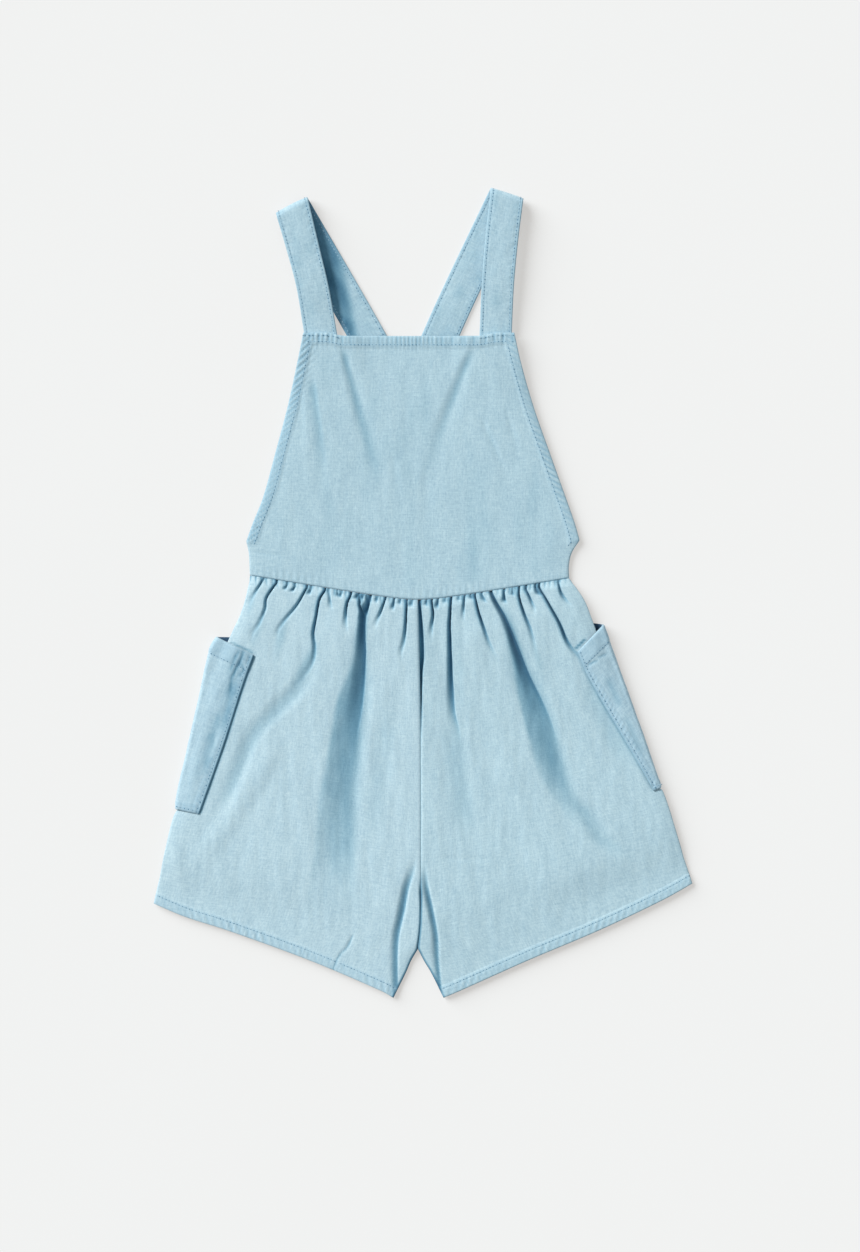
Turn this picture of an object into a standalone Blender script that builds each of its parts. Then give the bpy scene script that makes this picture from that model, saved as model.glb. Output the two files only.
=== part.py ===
"""A child's playsuit of pale blue chambray, laid flat on its back.

The bib faces up, the straps point along +Y and the legs along -Y. Left and right are the
viewer's. All sizes are in millimetres until a mesh is made. Every piece is one closed wall of
cloth. Front and back panels are surfaces over the floor, given their thickness downwards;
straps and pockets, which turn round a fold, are surfaces given it along their normals.

From the floor up lie the pocket backs, the back panels, the backs of the straps, the bib and
the front panels, and last the pocket fronts.
"""
import math

import bpy
from mathutils import Vector
from mathutils.bvhtree import BVHTree

MM = 0.001

# Cloth
CLOTH = 1.0
STRAP_CLOTH = 2.0
SEAM_GAP = 0.3
LAYER_GAP = 0.4
HEM_WIDTH = 8.0
HEM_RISE = 0.8
HEM_SLOPE = 0.8

# Bib: the armhole edges and, below them, the side seams
ARMHOLE_EDGES = (
    # y, left, right
    (207.6, -95.4, 72.8),
    (186.0, -100.0, 77.8),
    (150.0, -108.2, 88.4),
    (114.0, -117.8, 101.0),
    (78.0, -127.6, 113.6),
    (56.0, -136.0, 121.0),
    (41.0, -141.2, 125.2),
)
SIDE_SEAMS = (
    # y, left, right
    (41.0, -141.2, 125.2),
    (32.0, -139.2, 119.0),
    (22.0, -138.6, 116.6),
    (11.0, -138.2, 116.8),
)
BIB_TOP_CORNER_Y = 207.6
BIB_TOP_SAG = 2.6
BIB_TOP_MIDDLE_X = -9.0
BIB_TOP_SAG_HALF_WIDTH = 58.0
BIB_COLUMNS = 18
BIB_ROWS = 14
BIB_UNDERSIDE_AT_WAIST = 3.4
BIB_UNDERSIDE_AT_TOP = 6.4
BIB_RISES_TO_Y = 180.0
BIB_SIDE_ROUNDING = 26.0
BIB_ON_STRAPS_FROM_Y = 150.0
BIB_ON_STRAPS_FULLY_Y = 204.0
STRAP_PLACES_UNDER_BIB = (-80.0, 58.0)
BIB_FULL_LIFT_REACH = 22.0
BIB_NO_LIFT_REACH = 38.0
CREASE_FADE_IN = 0.25
CREASE_FADE_OUT = 0.6
BIB_CREASES = (
    # start x, start y, middle x, end x, end y, depth, half width: over the edges of the crossed straps
    (-63.0, 196.0, -39.0, -16.0, 92.0, 1.0, 6.0),
    (45.0, 194.0, 24.0, 12.0, 92.0, 0.9, 6.0),
)

# Waist seam: a shallow V with a rounded point
WAIST_MIDDLE_X = -4.0
WAIST_LOW_Y = -5.2
WAIST_SLOPE = 0.165
WAIST_ROUNDING = 3.0

# Straps: the left and right edge of each front part, from the tucked end to the shoulder
STRAP_WIDTH = 28.0
STRAP_TURN_RADIUS = 4.0
STRAP_FRONT_END_HEIGHT = 5.4
STRAP_FRONT_HEIGHT = 8.0
LEFT_STRAP_FRONT = (
    # left x, left y, right x, right y
    (-93.2, 199.0, -67.4, 199.0),
    (-94.8, 207.2, -68.6, 207.2),
    (-100.8, 243.5, -75.0, 243.5),
    (-109.2, 275.2, -82.4, 275.2),
    (-117.6, 303.6, -92.2, 316.6),
)
RIGHT_STRAP_FRONT = (
    (44.8, 199.0, 70.4, 199.0),
    (45.2, 207.2, 70.8, 207.2),
    (46.8, 246.0, 72.6, 246.0),
    (49.6, 282.0, 76.0, 282.0),
    (54.2, 323.6, 80.2, 315.2),
)
STRAP_RISE_START = 0.05
STRAP_RISE_END = 0.55
STRAP_END_Y = 31.0
LEFT_STRAP_BEND = (-45.6, 207.2)
LEFT_STRAP_END_X = 51.5
RIGHT_STRAP_BEND = (14.6, 207.2)
RIGHT_STRAP_END_X = -59.4
STRAP_CLEAR_OF_WAIST_Y = (50.0, 74.0)
STRAP_CLEAR_OF_STRAP_REACH = (24.0, 48.0)
STRAP_STRAIGHTENS_BY = 0.12
HEADING_STEP = 0.02
STRAP_COLUMNS = 4
STRAP_FRONT_ROWS = 8
STRAP_TURN_STEPS = 6
STRAP_BACK_ROWS = 20

# Back waist panel, between the side seams
BACK_WAIST_TOP_Y = 41.0
BACK_WAIST_COLUMNS = 12

# Legs: x, y down each edge. The centre seam ends at the crotch, where the inseams begin
LEFT_OUTER = (
    (-138.2, 13.6), (-142.4, -5.6), (-146.4, -17.6), (-152.0, -29.6), (-160.0, -48.0),
    (-173.0, -85.6), (-184.6, -125.6), (-193.9, -168.0), (-199.4, -178.0), (-206.4, -206.0),
    (-215.2, -248.0),
)
RIGHT_OUTER = (
    (116.8, 12.6), (122.4, 5.6), (129.6, -5.6), (134.4, -17.6), (142.0, -38.0),
    (157.0, -77.6), (167.6, -101.6), (177.4, -127.0), (187.4, -155.0), (193.8, -162.0),
    (204.8, -197.6), (215.2, -232.0),
)
CENTRE_SEAM = (
    (-4.0, -5.2), (-2.4, -76.0), (-1.6, -145.6), (-1.6, -213.6), (-2.0, -262.0), (-4.0, -284.0),
)
LEFT_INSEAM = ((-4.0, -284.0), (-9.6, -293.6), (-13.6, -303.0), (-23.6, -323.4))
RIGHT_INSEAM = ((-4.0, -284.0), (0.8, -293.6), (6.4, -303.0), (16.4, -323.4))
CROTCH_SHARE = 0.865
LEFT_HEM = (
    (-215.2, -248.0), (-190.6, -258.4), (-155.2, -269.8), (-89.6, -293.8), (-33.0, -318.0), (-23.6, -323.4),
)
RIGHT_HEM = (
    (16.4, -323.4), (31.2, -317.0), (84.0, -293.4), (141.6, -269.0), (192.0, -245.0), (215.2, -232.0),
)
BACK_INSET = 1.2
LEG_LENGTH_OUTER = 272.0
LEG_LENGTH_INNER = 322.0
BACK_LEG_COLUMNS = 9
BACK_LEG_ROWS = 12

# Height of the front panels over the back ones
PUFF_AT_SEAM = 1.7
PUFF_BELOW_SEAM = 4.6
PUFF_IN_THE_MIDDLE = 3.4
PUFF_AT_HEM = 0.9
PUFF_FULL_BY = 9.0
PUFF_EASES = (30.0, 150.0)
PUFF_AT_HEM_REACH = 70.0
SIDE_ROUNDING = 12.0
SEAM_ROUNDING = 3.0
SEAM_HEIGHT_SHARE = 0.72
CROTCH_ROUNDING_SHARES = (0.84, 0.90)

# Gathers: each valley runs from the waist seam to its foot, where it has faded
LEFT_GATHERS = (
    # waist x, middle x, foot x, length, share of the height, half width
    (-127.2, -133.0, -137.0, 26.0, 0.62, 1.7),
    (-116.8, -126.2, -139.0, 48.0, 0.85, 2.2),
    (-109.2, -111.4, -113.0, 12.0, 0.55, 1.4),
    (-102.9, -104.8, -106.0, 12.0, 0.55, 1.4),
    (-94.2, -102.4, -118.0, 42.0, 0.75, 1.9),
    (-86.0, -87.2, -88.0, 11.0, 0.50, 1.4),
    (-78.6, -85.4, -97.0, 78.0, 0.85, 2.2),
    (-71.8, -71.6, -72.0, 16.0, 0.50, 1.5),
    (-65.4, -65.8, -66.0, 10.0, 0.50, 1.4),
    (-58.4, -61.2, -61.0, 26.0, 0.62, 1.6),
    (-52.5, -53.2, -54.0, 10.0, 0.50, 1.3),
    (-47.2, -48.2, -49.0, 11.0, 0.50, 1.3),
    (-40.8, -50.6, -68.0, 140.0, 0.92, 2.4),
    (-35.4, -36.6, -37.0, 10.0, 0.50, 1.3),
    (-30.0, -35.2, -40.0, 30.0, 0.65, 1.6),
    (-23.4, -24.4, -25.0, 14.0, 0.60, 1.5),
    (-18.0, -18.4, -19.0, 10.0, 0.50, 1.3),
    (-13.0, -14.2, -17.0, 58.0, 0.65, 1.6),
    (-8.4, -8.6, -9.0, 12.0, 0.50, 1.2),
)
RIGHT_GATHERS = (
    # waist x, middle x, foot x, length, share of the height, half width
    (0.2, 0.0, 0.0, 90.0, 0.70, 1.3),
    (4.6, 4.8, 5.0, 11.0, 0.50, 1.2),
    (9.2, 9.4, 6.0, 38.0, 0.60, 1.5),
    (13.6, 13.6, 13.4, 13.0, 0.50, 1.3),
    (18.0, 18.0, 18.0, 10.0, 0.50, 1.3),
    (22.6, 20.0, 24.0, 92.0, 0.80, 1.9),
    (28.4, 28.6, 28.8, 9.0, 0.45, 1.3),
    (33.2, 32.2, 31.0, 22.0, 0.55, 1.5),
    (37.6, 38.2, 39.0, 10.0, 0.50, 1.3),
    (42.4, 51.0, 66.0, 66.0, 0.72, 1.8),
    (48.2, 51.0, 54.0, 14.0, 0.50, 1.4),
    (57.4, 68.0, 93.0, 96.0, 0.92, 2.4),
    (64.8, 66.6, 68.0, 11.0, 0.50, 1.4),
    (71.0, 72.6, 74.0, 10.0, 0.45, 1.4),
    (77.6, 84.0, 92.0, 52.0, 0.70, 1.7),
    (84.6, 88.4, 92.0, 20.0, 0.60, 1.5),
    (93.0, 111.0, 131.0, 66.0, 0.85, 2.1),
    (100.0, 103.6, 107.0, 12.0, 0.50, 1.5),
    (106.4, 113.4, 122.0, 22.0, 0.62, 1.7),
)
GATHER_WIDENING = 1.6
LONG_GATHER = 60.0
GATHER_FADES_FROM = 0.5
STEEPEST_SLOPE = 1.5
SLOPE_STEP = 0.5
FINE_ROW_DEPTHS = (0.0, 3.0, 7.0, 12.0)
EVENING = 0.75
EVENING_SHARES = (0.05, 0.3)
COARSE_ROW_SHARES = (0.065, 0.10, 0.15, 0.21, 0.29, 0.38, 0.48, 0.58, 0.68, 0.76, 0.83, 0.89)

# Long folds below the gathers, and the two valleys beside the crotch
LEFT_FOLDS = (
    # start x, start y, middle x, end x, end y, share of the height, half width
    (-96.0, -52.0, -120.0, -146.0, -170.0, 0.35, 11.0),
    (-58.0, -96.0, -84.0, -118.0, -240.0, 0.30, 13.0),
    (-30.0, -60.0, -34.0, -44.0, -190.0, 0.22, 10.0),
    (-6.5, -206.0, -18.5, -21.4, -330.0, 0.88, 3.4),
)
RIGHT_FOLDS = (
    # start x, start y, middle x, end x, end y, share of the height, half width
    (90.0, -60.0, 116.0, 140.0, -180.0, 0.35, 11.0),
    (24.0, -70.0, 30.0, 42.0, -200.0, 0.24, 10.0),
    (92.0, -84.0, 112.0, 122.0, -240.0, 0.28, 14.0),
    (-0.4, -208.0, 9.4, 14.0, -318.0, 0.88, 3.0),
)
FOLD_FADE_IN = 0.3
FOLD_FADE_OUT = 0.7
RUNS_INTO_HEM_Y = -300.0

# Pockets: each wraps round the side fold of its leg. The fold and the front edge, top to bottom
LEFT_POCKET_FOLD = (
    (-164.8, -34.8), (-170.4, -44.0), (-180.8, -89.6), (-189.0, -125.6), (-196.8, -160.0), (-198.0, -172.4),
)
LEFT_POCKET_FRONT = ((-134.8, -49.6), (-143.2, -72.8), (-157.6, -117.6), (-178.6, -176.4))
RIGHT_POCKET_FOLD = (
    (144.2, -24.6), (150.6, -42.0), (163.4, -77.6), (180.8, -125.6), (190.6, -155.2),
)
RIGHT_POCKET_FRONT = ((123.0, -46.8), (131.4, -66.4), (168.0, -129.6), (184.0, -157.8))
POCKET_WIDTH = 95.0
POCKET_TURN = 2.3
POCKET_MOUTH_GAPE = 1.4
POCKET_GAPE_LENGTH = 40.0
POCKET_ROWS = 10
POCKET_FRONT_COLUMNS = 4
POCKET_TURN_STEPS = 6
POCKET_BACK_COLUMNS = 3
POCKET_REST_RADIUS = 4.0
POCKET_REST_DIRECTIONS = 8
POCKET_REST_GAP = 0.6
POCKET_BELOW_FOLD = 18.0
POCKET_LIFT_WIDTH = 83.0
POCKET_LIFT_MARGIN = 20.0
POCKET_LIFT_RAMP = 30.0

# Colours of the cloth: red, green, blue in linear light
BIB_BLUE = (0.434, 0.610, 0.694)
LEG_BLUE = (0.462, 0.638, 0.730)
STRAP_BLUE = (0.427, 0.597, 0.680)
POCKET_BLUE = (0.407, 0.584, 0.687)
BACK_BLUE = (0.380, 0.545, 0.650)
CLOTH_ROUGHNESS = 0.9
SHARP_ANGLE = 50.0
OVER_EVERYTHING = 100.0


def mix(first, second, share):
    """The value or point that lies the given share of the way from first to second."""
    return first + (second - first) * share


def ease(low, high, value):
    """0 below low, 1 above high and a smooth rise between them."""
    share = min(1.0, max(0.0, (value - low) / (high - low)))
    return share * share * (3.0 - 2.0 * share)


def round_edge(distance, radius):
    """0 at a folded edge and 1 from a radius away, rising as a quarter circle."""
    share = min(1.0, max(0.0, distance / radius))
    return math.sqrt(1.0 - (1.0 - share) ** 2)


def hermite(start, end, start_slope, end_slope, share):
    """Cubic between two values with the given slopes, which are per unit of share."""
    square = share * share
    cube = square * share
    return (start * (2.0 * cube - 3.0 * square + 1.0) + start_slope * (cube - 2.0 * square + share)
            + end * (3.0 * square - 2.0 * cube) + end_slope * (cube - square))


def smooth_through(keys, values, key):
    """The value at key on a smooth curve through a table whose keys rise."""
    key = min(keys[-1], max(keys[0], key))
    index = 0
    while index < len(keys) - 2 and keys[index + 1] < key:
        index += 1

    def slope(place):
        before = max(0, place - 1)
        after = min(len(keys) - 1, place + 1)
        return (values[after] - values[before]) / (keys[after] - keys[before])

    span = keys[index + 1] - keys[index]
    share = (key - keys[index]) / span
    return hermite(values[index], values[index + 1], slope(index) * span, slope(index + 1) * span, share)


class Curve:
    """A smooth curve through points, read by the share of its length."""

    def __init__(self, points):
        self.points = [Vector(point) for point in points]
        self.reaches = [0.0]
        for before, after in zip(self.points, self.points[1:]):
            self.reaches.append(self.reaches[-1] + (after - before).length)

    def at(self, share):
        return smooth_through(self.reaches, self.points, share * self.reaches[-1])


class CorneredCurve:
    """Two smooth curves that meet at a corner, at a fixed share of the way."""

    def __init__(self, first, second, corner):
        self.first = Curve(first)
        self.second = Curve(second)
        self.corner = corner

    def at(self, share):
        if share <= self.corner:
            return self.first.at(share / self.corner)
        return self.second.at((share - self.corner) / (1.0 - self.corner))


def table_x(table, y, column):
    """Read an edge's x from a table whose rows run from the highest y to the lowest."""
    keys = [-row[0] for row in table]
    values = [row[column] for row in table]
    return smooth_through(keys, values, -y)


def waist_y(x):
    """Height on the page of the waist seam."""
    rise = WAIST_SLOPE * (x - WAIST_MIDDLE_X)
    return WAIST_LOW_Y + math.hypot(rise, WAIST_ROUNDING) - WAIST_ROUNDING


def bib_top_y(x):
    """The bib's top edge, which sags a little between the straps."""
    reach = abs(x - BIB_TOP_MIDDLE_X) / BIB_TOP_SAG_HALF_WIDTH
    return BIB_TOP_CORNER_Y - BIB_TOP_SAG * (1.0 - ease(0.9, 1.2, reach))


def bib_side_x(y, column):
    """The bib's side at a height on the page: column 1 is its left side and 2 its right."""
    if y >= ARMHOLE_EDGES[-1][0]:
        return table_x(ARMHOLE_EDGES, y, column)
    return table_x(SIDE_SEAMS, y, column)


def bib_height(x, y, side_distance):
    """Underside of the bib over the floor: high on the straps, low along its sides."""
    near_top = ease(BIB_ON_STRAPS_FROM_Y, BIB_ON_STRAPS_FULLY_Y, y)
    middle = mix(BIB_UNDERSIDE_AT_WAIST, BIB_UNDERSIDE_AT_TOP, ease(0.0, BIB_RISES_TO_Y, y))
    to_strap = min(abs(x - place) for place in STRAP_PLACES_UNDER_BIB)
    on_strap = near_top * (1.0 - ease(BIB_FULL_LIFT_REACH, BIB_NO_LIFT_REACH, to_strap))
    inside = mix(middle, STRAP_FRONT_END_HEIGHT + STRAP_CLOTH + LAYER_GAP, on_strap)
    low_edge = CLOTH + LAYER_GAP
    side = mix(low_edge, inside, near_top)
    return mix(side, inside, round_edge(side_distance, BIB_SIDE_ROUNDING))


def path_x(start_x, middle_x, end_x, share):
    """A valley's x at a share of its way down, on a parabola through three places."""
    bend = middle_x - (start_x + end_x) / 2.0
    return mix(start_x, end_x, share) + 4.0 * bend * share * (1.0 - share)


def bib_crease(x, y):
    """How far the creases over the crossed straps lower the bib."""
    depth = 0.0
    for start_x, start_y, middle_x, end_x, end_y, deepest, half_width in BIB_CREASES:
        down = (start_y - y) / (start_y - end_y)
        if 0.0 < down < 1.0:
            offset = x - path_x(start_x, middle_x, end_x, down)
            fade = ease(0.0, CREASE_FADE_IN, down) * (1.0 - ease(CREASE_FADE_OUT, 1.0, down))
            depth += deepest * fade * math.exp(-(offset / half_width) ** 2)
    return depth


def surface_faces(counts):
    """Faces of a surface whose rows have the given numbers of points.

    A row has as many points as the one before it, or half as many columns.
    """
    starts = [0]
    for count in counts:
        starts.append(starts[-1] + count)
    faces = []
    for row, (above_count, below_count) in enumerate(zip(counts, counts[1:])):
        above = starts[row]
        below = starts[row + 1]
        if above_count == below_count:
            for column in range(above_count - 1):
                faces.append((above + column, below + column, below + column + 1, above + column + 1))
            continue
        for column in range(below_count - 1):
            first = above + 2 * column
            faces.append((first, below + column, first + 1))
            faces.append((first + 1, below + column, below + column + 1))
            faces.append((first + 1, below + column + 1, first + 2))
    return faces


def border(counts):
    """Point numbers round the edge of such a surface, in the order that faces outwards."""
    starts = [0]
    for count in counts:
        starts.append(starts[-1] + count)
    last = len(counts) - 1
    left = [starts[row] for row in range(len(counts))]
    bottom = [starts[last] + column for column in range(1, counts[last])]
    right = [starts[row] + counts[row] - 1 for row in range(last - 1, -1, -1)]
    top = [column for column in range(counts[0] - 2, 0, -1)]
    return left + bottom + right + top


def make_material(name, colour):
    """A matt cloth material."""
    material = bpy.data.materials.new(name)
    material.use_nodes = True
    shader = material.node_tree.nodes["Principled BSDF"]
    shader.inputs["Base Color"].default_value = (*colour, 1.0)
    shader.inputs["Roughness"].default_value = CLOTH_ROUGHNESS
    shader.inputs["Metallic"].default_value = 0.0
    material.diffuse_color = (*colour, 1.0)
    return material


def make_piece(name, upper_rows, lower_rows, colour, parent):
    """Close two matching surfaces into one wall of cloth, as an object of its own."""
    counts = [len(row) for row in upper_rows]
    upper = [Vector(point) for row in upper_rows for point in row]
    lower = [Vector(point) for row in lower_rows for point in row]
    total = len(upper)
    faces = surface_faces(counts)
    walls = [tuple(point + total for point in reversed(face)) for face in faces]
    edge = border(counts)
    for before, after in zip(edge, edge[1:] + edge[:1]):
        walls.append((before, before + total, after + total, after))
    points = upper + lower
    centre = sum(points, Vector()) / len(points)
    mesh = bpy.data.meshes.new(name)
    mesh.from_pydata([(point - centre) * MM for point in points], [], faces + walls)
    mesh.shade_smooth()
    mesh.set_sharp_from_angle(angle=math.radians(SHARP_ANGLE))
    mesh.materials.append(make_material(name + "_cloth", colour))
    piece = bpy.data.objects.new(name, mesh)
    piece.location = centre * MM
    piece.parent = parent
    bpy.context.scene.collection.objects.link(piece)
    return piece


def sheet_piece(name, rows, colour, parent):
    """A panel from rows of points that each hold x, y, the underside and the top."""
    upper = [[(x, y, top) for x, y, low, top in row] for row in rows]
    lower = [[(x, y, low) for x, y, low, top in row] for row in rows]
    return make_piece(name, upper, lower, colour, parent)


def thick_piece(name, rows, thickness, colour, parent):
    """A piece from the middle surface of its wall, thickened along the surface's normals."""
    upper = []
    lower = []
    last_row = len(rows) - 1
    for row, points in enumerate(rows):
        above = rows[max(0, row - 1)]
        below = rows[min(last_row, row + 1)]
        last = len(points) - 1
        upper.append([])
        lower.append([])
        for column, point in enumerate(points):
            along = Vector(below[column]) - Vector(above[column])
            across = Vector(points[min(last, column + 1)]) - Vector(points[max(0, column - 1)])
            shift = along.cross(across).normalized() * (thickness / 2.0)
            upper[-1].append(Vector(point) + shift)
            lower[-1].append(Vector(point) - shift)
    return make_piece(name, upper, lower, colour, parent)


def even(count):
    """Shares from 0 to 1 that split a length into count parts."""
    return [index / count for index in range(count + 1)]


def build_bib(parent):
    """The front panel from its top edge to the waist seam, with its turned edges raised."""
    length = BIB_TOP_CORNER_Y - waist_y(SIDE_SEAMS[-1][1])
    hem_share = HEM_WIDTH / length
    slope_share = (HEM_WIDTH + HEM_SLOPE) / length
    corner_share = (BIB_TOP_CORNER_Y - ARMHOLE_EDGES[-1][0]) / length
    hem_end = mix(corner_share, 1.0, 0.25)
    body_rows = [mix(slope_share, corner_share, share) for share in even(BIB_ROWS - 2)]
    rows = []
    for down in [0.0, hem_share] + body_rows + [mix(corner_share, 1.0, 0.5), 1.0]:
        left_y = mix(BIB_TOP_CORNER_Y, waist_y(SIDE_SEAMS[-1][1]), down)
        right_y = mix(BIB_TOP_CORNER_Y, waist_y(SIDE_SEAMS[-1][2]), down)
        left = bib_side_x(left_y, 1)
        right = bib_side_x(right_y, 2)
        width = right - left
        edge_places = [0.0, HEM_WIDTH, HEM_WIDTH + HEM_SLOPE]
        inner = width - 2.0 * edge_places[-1]
        middle_places = [edge_places[-1] + inner * share for share in even(BIB_COLUMNS)[1:-1]]
        places = edge_places + middle_places + [width - place for place in reversed(edge_places)]
        row = []
        for place in places:
            x = left + place
            low_end = waist_y(x) + SEAM_GAP / 2.0
            y = mix(bib_top_y(x), low_end, down)
            side_distance = min(place, width - place)
            low = bib_height(x, y, side_distance) - bib_crease(x, y)
            on_side_hem = side_distance < HEM_WIDTH + HEM_SLOPE / 2.0 and down < hem_end
            on_top_hem = down < (hem_share + slope_share) / 2.0
            rise = HEM_RISE if on_side_hem or on_top_hem else 0.0
            row.append((x, y, low, low + CLOTH + rise))
        rows.append(row)
    return sheet_piece("bib_front", rows, BIB_BLUE, parent)


def build_back_waist(parent):
    """The back panel between the side seams, flat on the floor."""
    rows = []
    for down in (0.0, 0.5, 1.0):
        row = []
        for across in even(BACK_WAIST_COLUMNS):
            left = bib_side_x(mix(BACK_WAIST_TOP_Y, waist_y(SIDE_SEAMS[-1][1]), down), 1)
            right = bib_side_x(mix(BACK_WAIST_TOP_Y, waist_y(SIDE_SEAMS[-1][2]), down), 2)
            x = mix(left + BACK_INSET, right - BACK_INSET, across)
            y = mix(BACK_WAIST_TOP_Y - BACK_INSET, waist_y(x) + SEAM_GAP / 2.0, down)
            row.append((x, y, 0.0, CLOTH))
        rows.append(row)
    return sheet_piece("back_waist", rows, BACK_BLUE, parent)


def distance_to_line(x, y, start, end):
    """Distance on the page from a point to the line through two points."""
    along = (Vector(end) - Vector(start)).normalized()
    offset = Vector((x, y)) - Vector(start)
    return abs(along.x * offset.y - along.y * offset.x)


def strap_back_height(x, y, over_line):
    """Underside of a strap's back part: on the floor, over the back waist and the other strap."""
    over_waist = (CLOTH + LAYER_GAP) * (1.0 - ease(*STRAP_CLEAR_OF_WAIST_Y, y))
    if over_line is None:
        return over_waist
    distance = distance_to_line(x, y, *over_line)
    over_strap = (STRAP_CLOTH + LAYER_GAP) * (1.0 - ease(*STRAP_CLEAR_OF_STRAP_REACH, distance))
    return max(over_waist, over_strap)


def build_strap(name, front, back_route, over_line, parent):
    """One strap: up from under the bib, over the shoulder fold and down the back."""
    left_edge = Curve([(left_x, left_y) for left_x, left_y, right_x, right_y in front])
    right_edge = Curve([(right_x, right_y) for left_x, left_y, right_x, right_y in front])
    fold_left = left_edge.at(1.0)
    fold_right = right_edge.at(1.0)
    fold_middle = (fold_left + fold_right) / 2.0
    fold_line = (fold_right - fold_left).normalized()
    roll = STRAP_TURN_RADIUS + STRAP_CLOTH / 2.0
    straight_share = 1.0 - roll / left_edge.reaches[-1]
    rows = []
    for share in even(STRAP_FRONT_ROWS):
        left = left_edge.at(share * straight_share)
        right = right_edge.at(share * straight_share)
        risen = ease(STRAP_RISE_START, STRAP_RISE_END, share)
        height = mix(STRAP_FRONT_END_HEIGHT, STRAP_FRONT_HEIGHT, risen)
        middle = height + STRAP_CLOTH / 2.0
        rows.append([(*mix(left, right, across), middle) for across in even(STRAP_COLUMNS)])
    top = STRAP_FRONT_HEIGHT + STRAP_CLOTH / 2.0
    bottom = STRAP_CLOTH / 2.0
    up_front = (fold_middle - (left + right) / 2.0).normalized()
    down_back = (Vector(back_route[0]) - fold_middle).normalized()
    for step in range(1, STRAP_TURN_STEPS):
        angle = math.pi * step / STRAP_TURN_STEPS
        turned = (1.0 - math.cos(angle)) / 2.0
        pull_back = mix(up_front * -roll, down_back * roll, turned)
        reach = mix(up_front, down_back * -1.0, turned) * STRAP_TURN_RADIUS * math.sin(angle)
        half = fold_line * mix((right - left).length, STRAP_WIDTH, turned) / 2.0
        middle = fold_middle + pull_back + reach
        height = mix(top, bottom, turned)
        rows.append([(*mix(middle - half, middle + half, across), height) for across in even(STRAP_COLUMNS)])
    route = Curve([fold_middle + down_back * roll] + [Vector(point) for point in back_route])
    for share in even(STRAP_BACK_ROWS):
        here = route.at(share)
        ahead = route.at(min(1.0, share + HEADING_STEP))
        heading = (ahead - route.at(max(0.0, share - HEADING_STEP))).normalized()
        straight_across = Vector((-heading.y, heading.x))
        across_line = mix(fold_line, straight_across, ease(0.0, STRAP_STRAIGHTENS_BY, share)).normalized()
        half = across_line * STRAP_WIDTH / 2.0
        row = []
        for across in even(STRAP_COLUMNS):
            x, y = mix(here - half, here + half, across)
            row.append((x, y, strap_back_height(x, y, over_line) + STRAP_CLOTH / 2.0))
        rows.append(row)
    return thick_piece(name, rows, STRAP_CLOTH, STRAP_BLUE, parent)


def pocket_back_lift(x, y, pocket):
    """How far the back panel is raised over the pocket back under it."""
    fold, front = pocket
    top = Vector(fold[0])
    along = Vector(fold[-1]) - top
    length = along.length
    along.normalize()
    inward = Vector((-along.y, along.x))
    if inward.dot(Vector(front[0]) - top) < 0.0:
        inward = -inward
    offset = Vector((x, y)) - top
    down = offset.dot(along)
    across = offset.dot(inward)
    above = 1.0 - ease(POCKET_LIFT_MARGIN, POCKET_LIFT_MARGIN + POCKET_LIFT_RAMP, -down)
    past_end = down - length - POCKET_BELOW_FOLD
    below = 1.0 - ease(POCKET_LIFT_MARGIN, POCKET_LIFT_MARGIN + POCKET_LIFT_RAMP, past_end)
    past_side = across - POCKET_LIFT_WIDTH
    beside = 1.0 - ease(POCKET_LIFT_MARGIN, POCKET_LIFT_MARGIN + POCKET_LIFT_RAMP, past_side)
    return (CLOTH + LAYER_GAP) * above * below * beside


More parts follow.
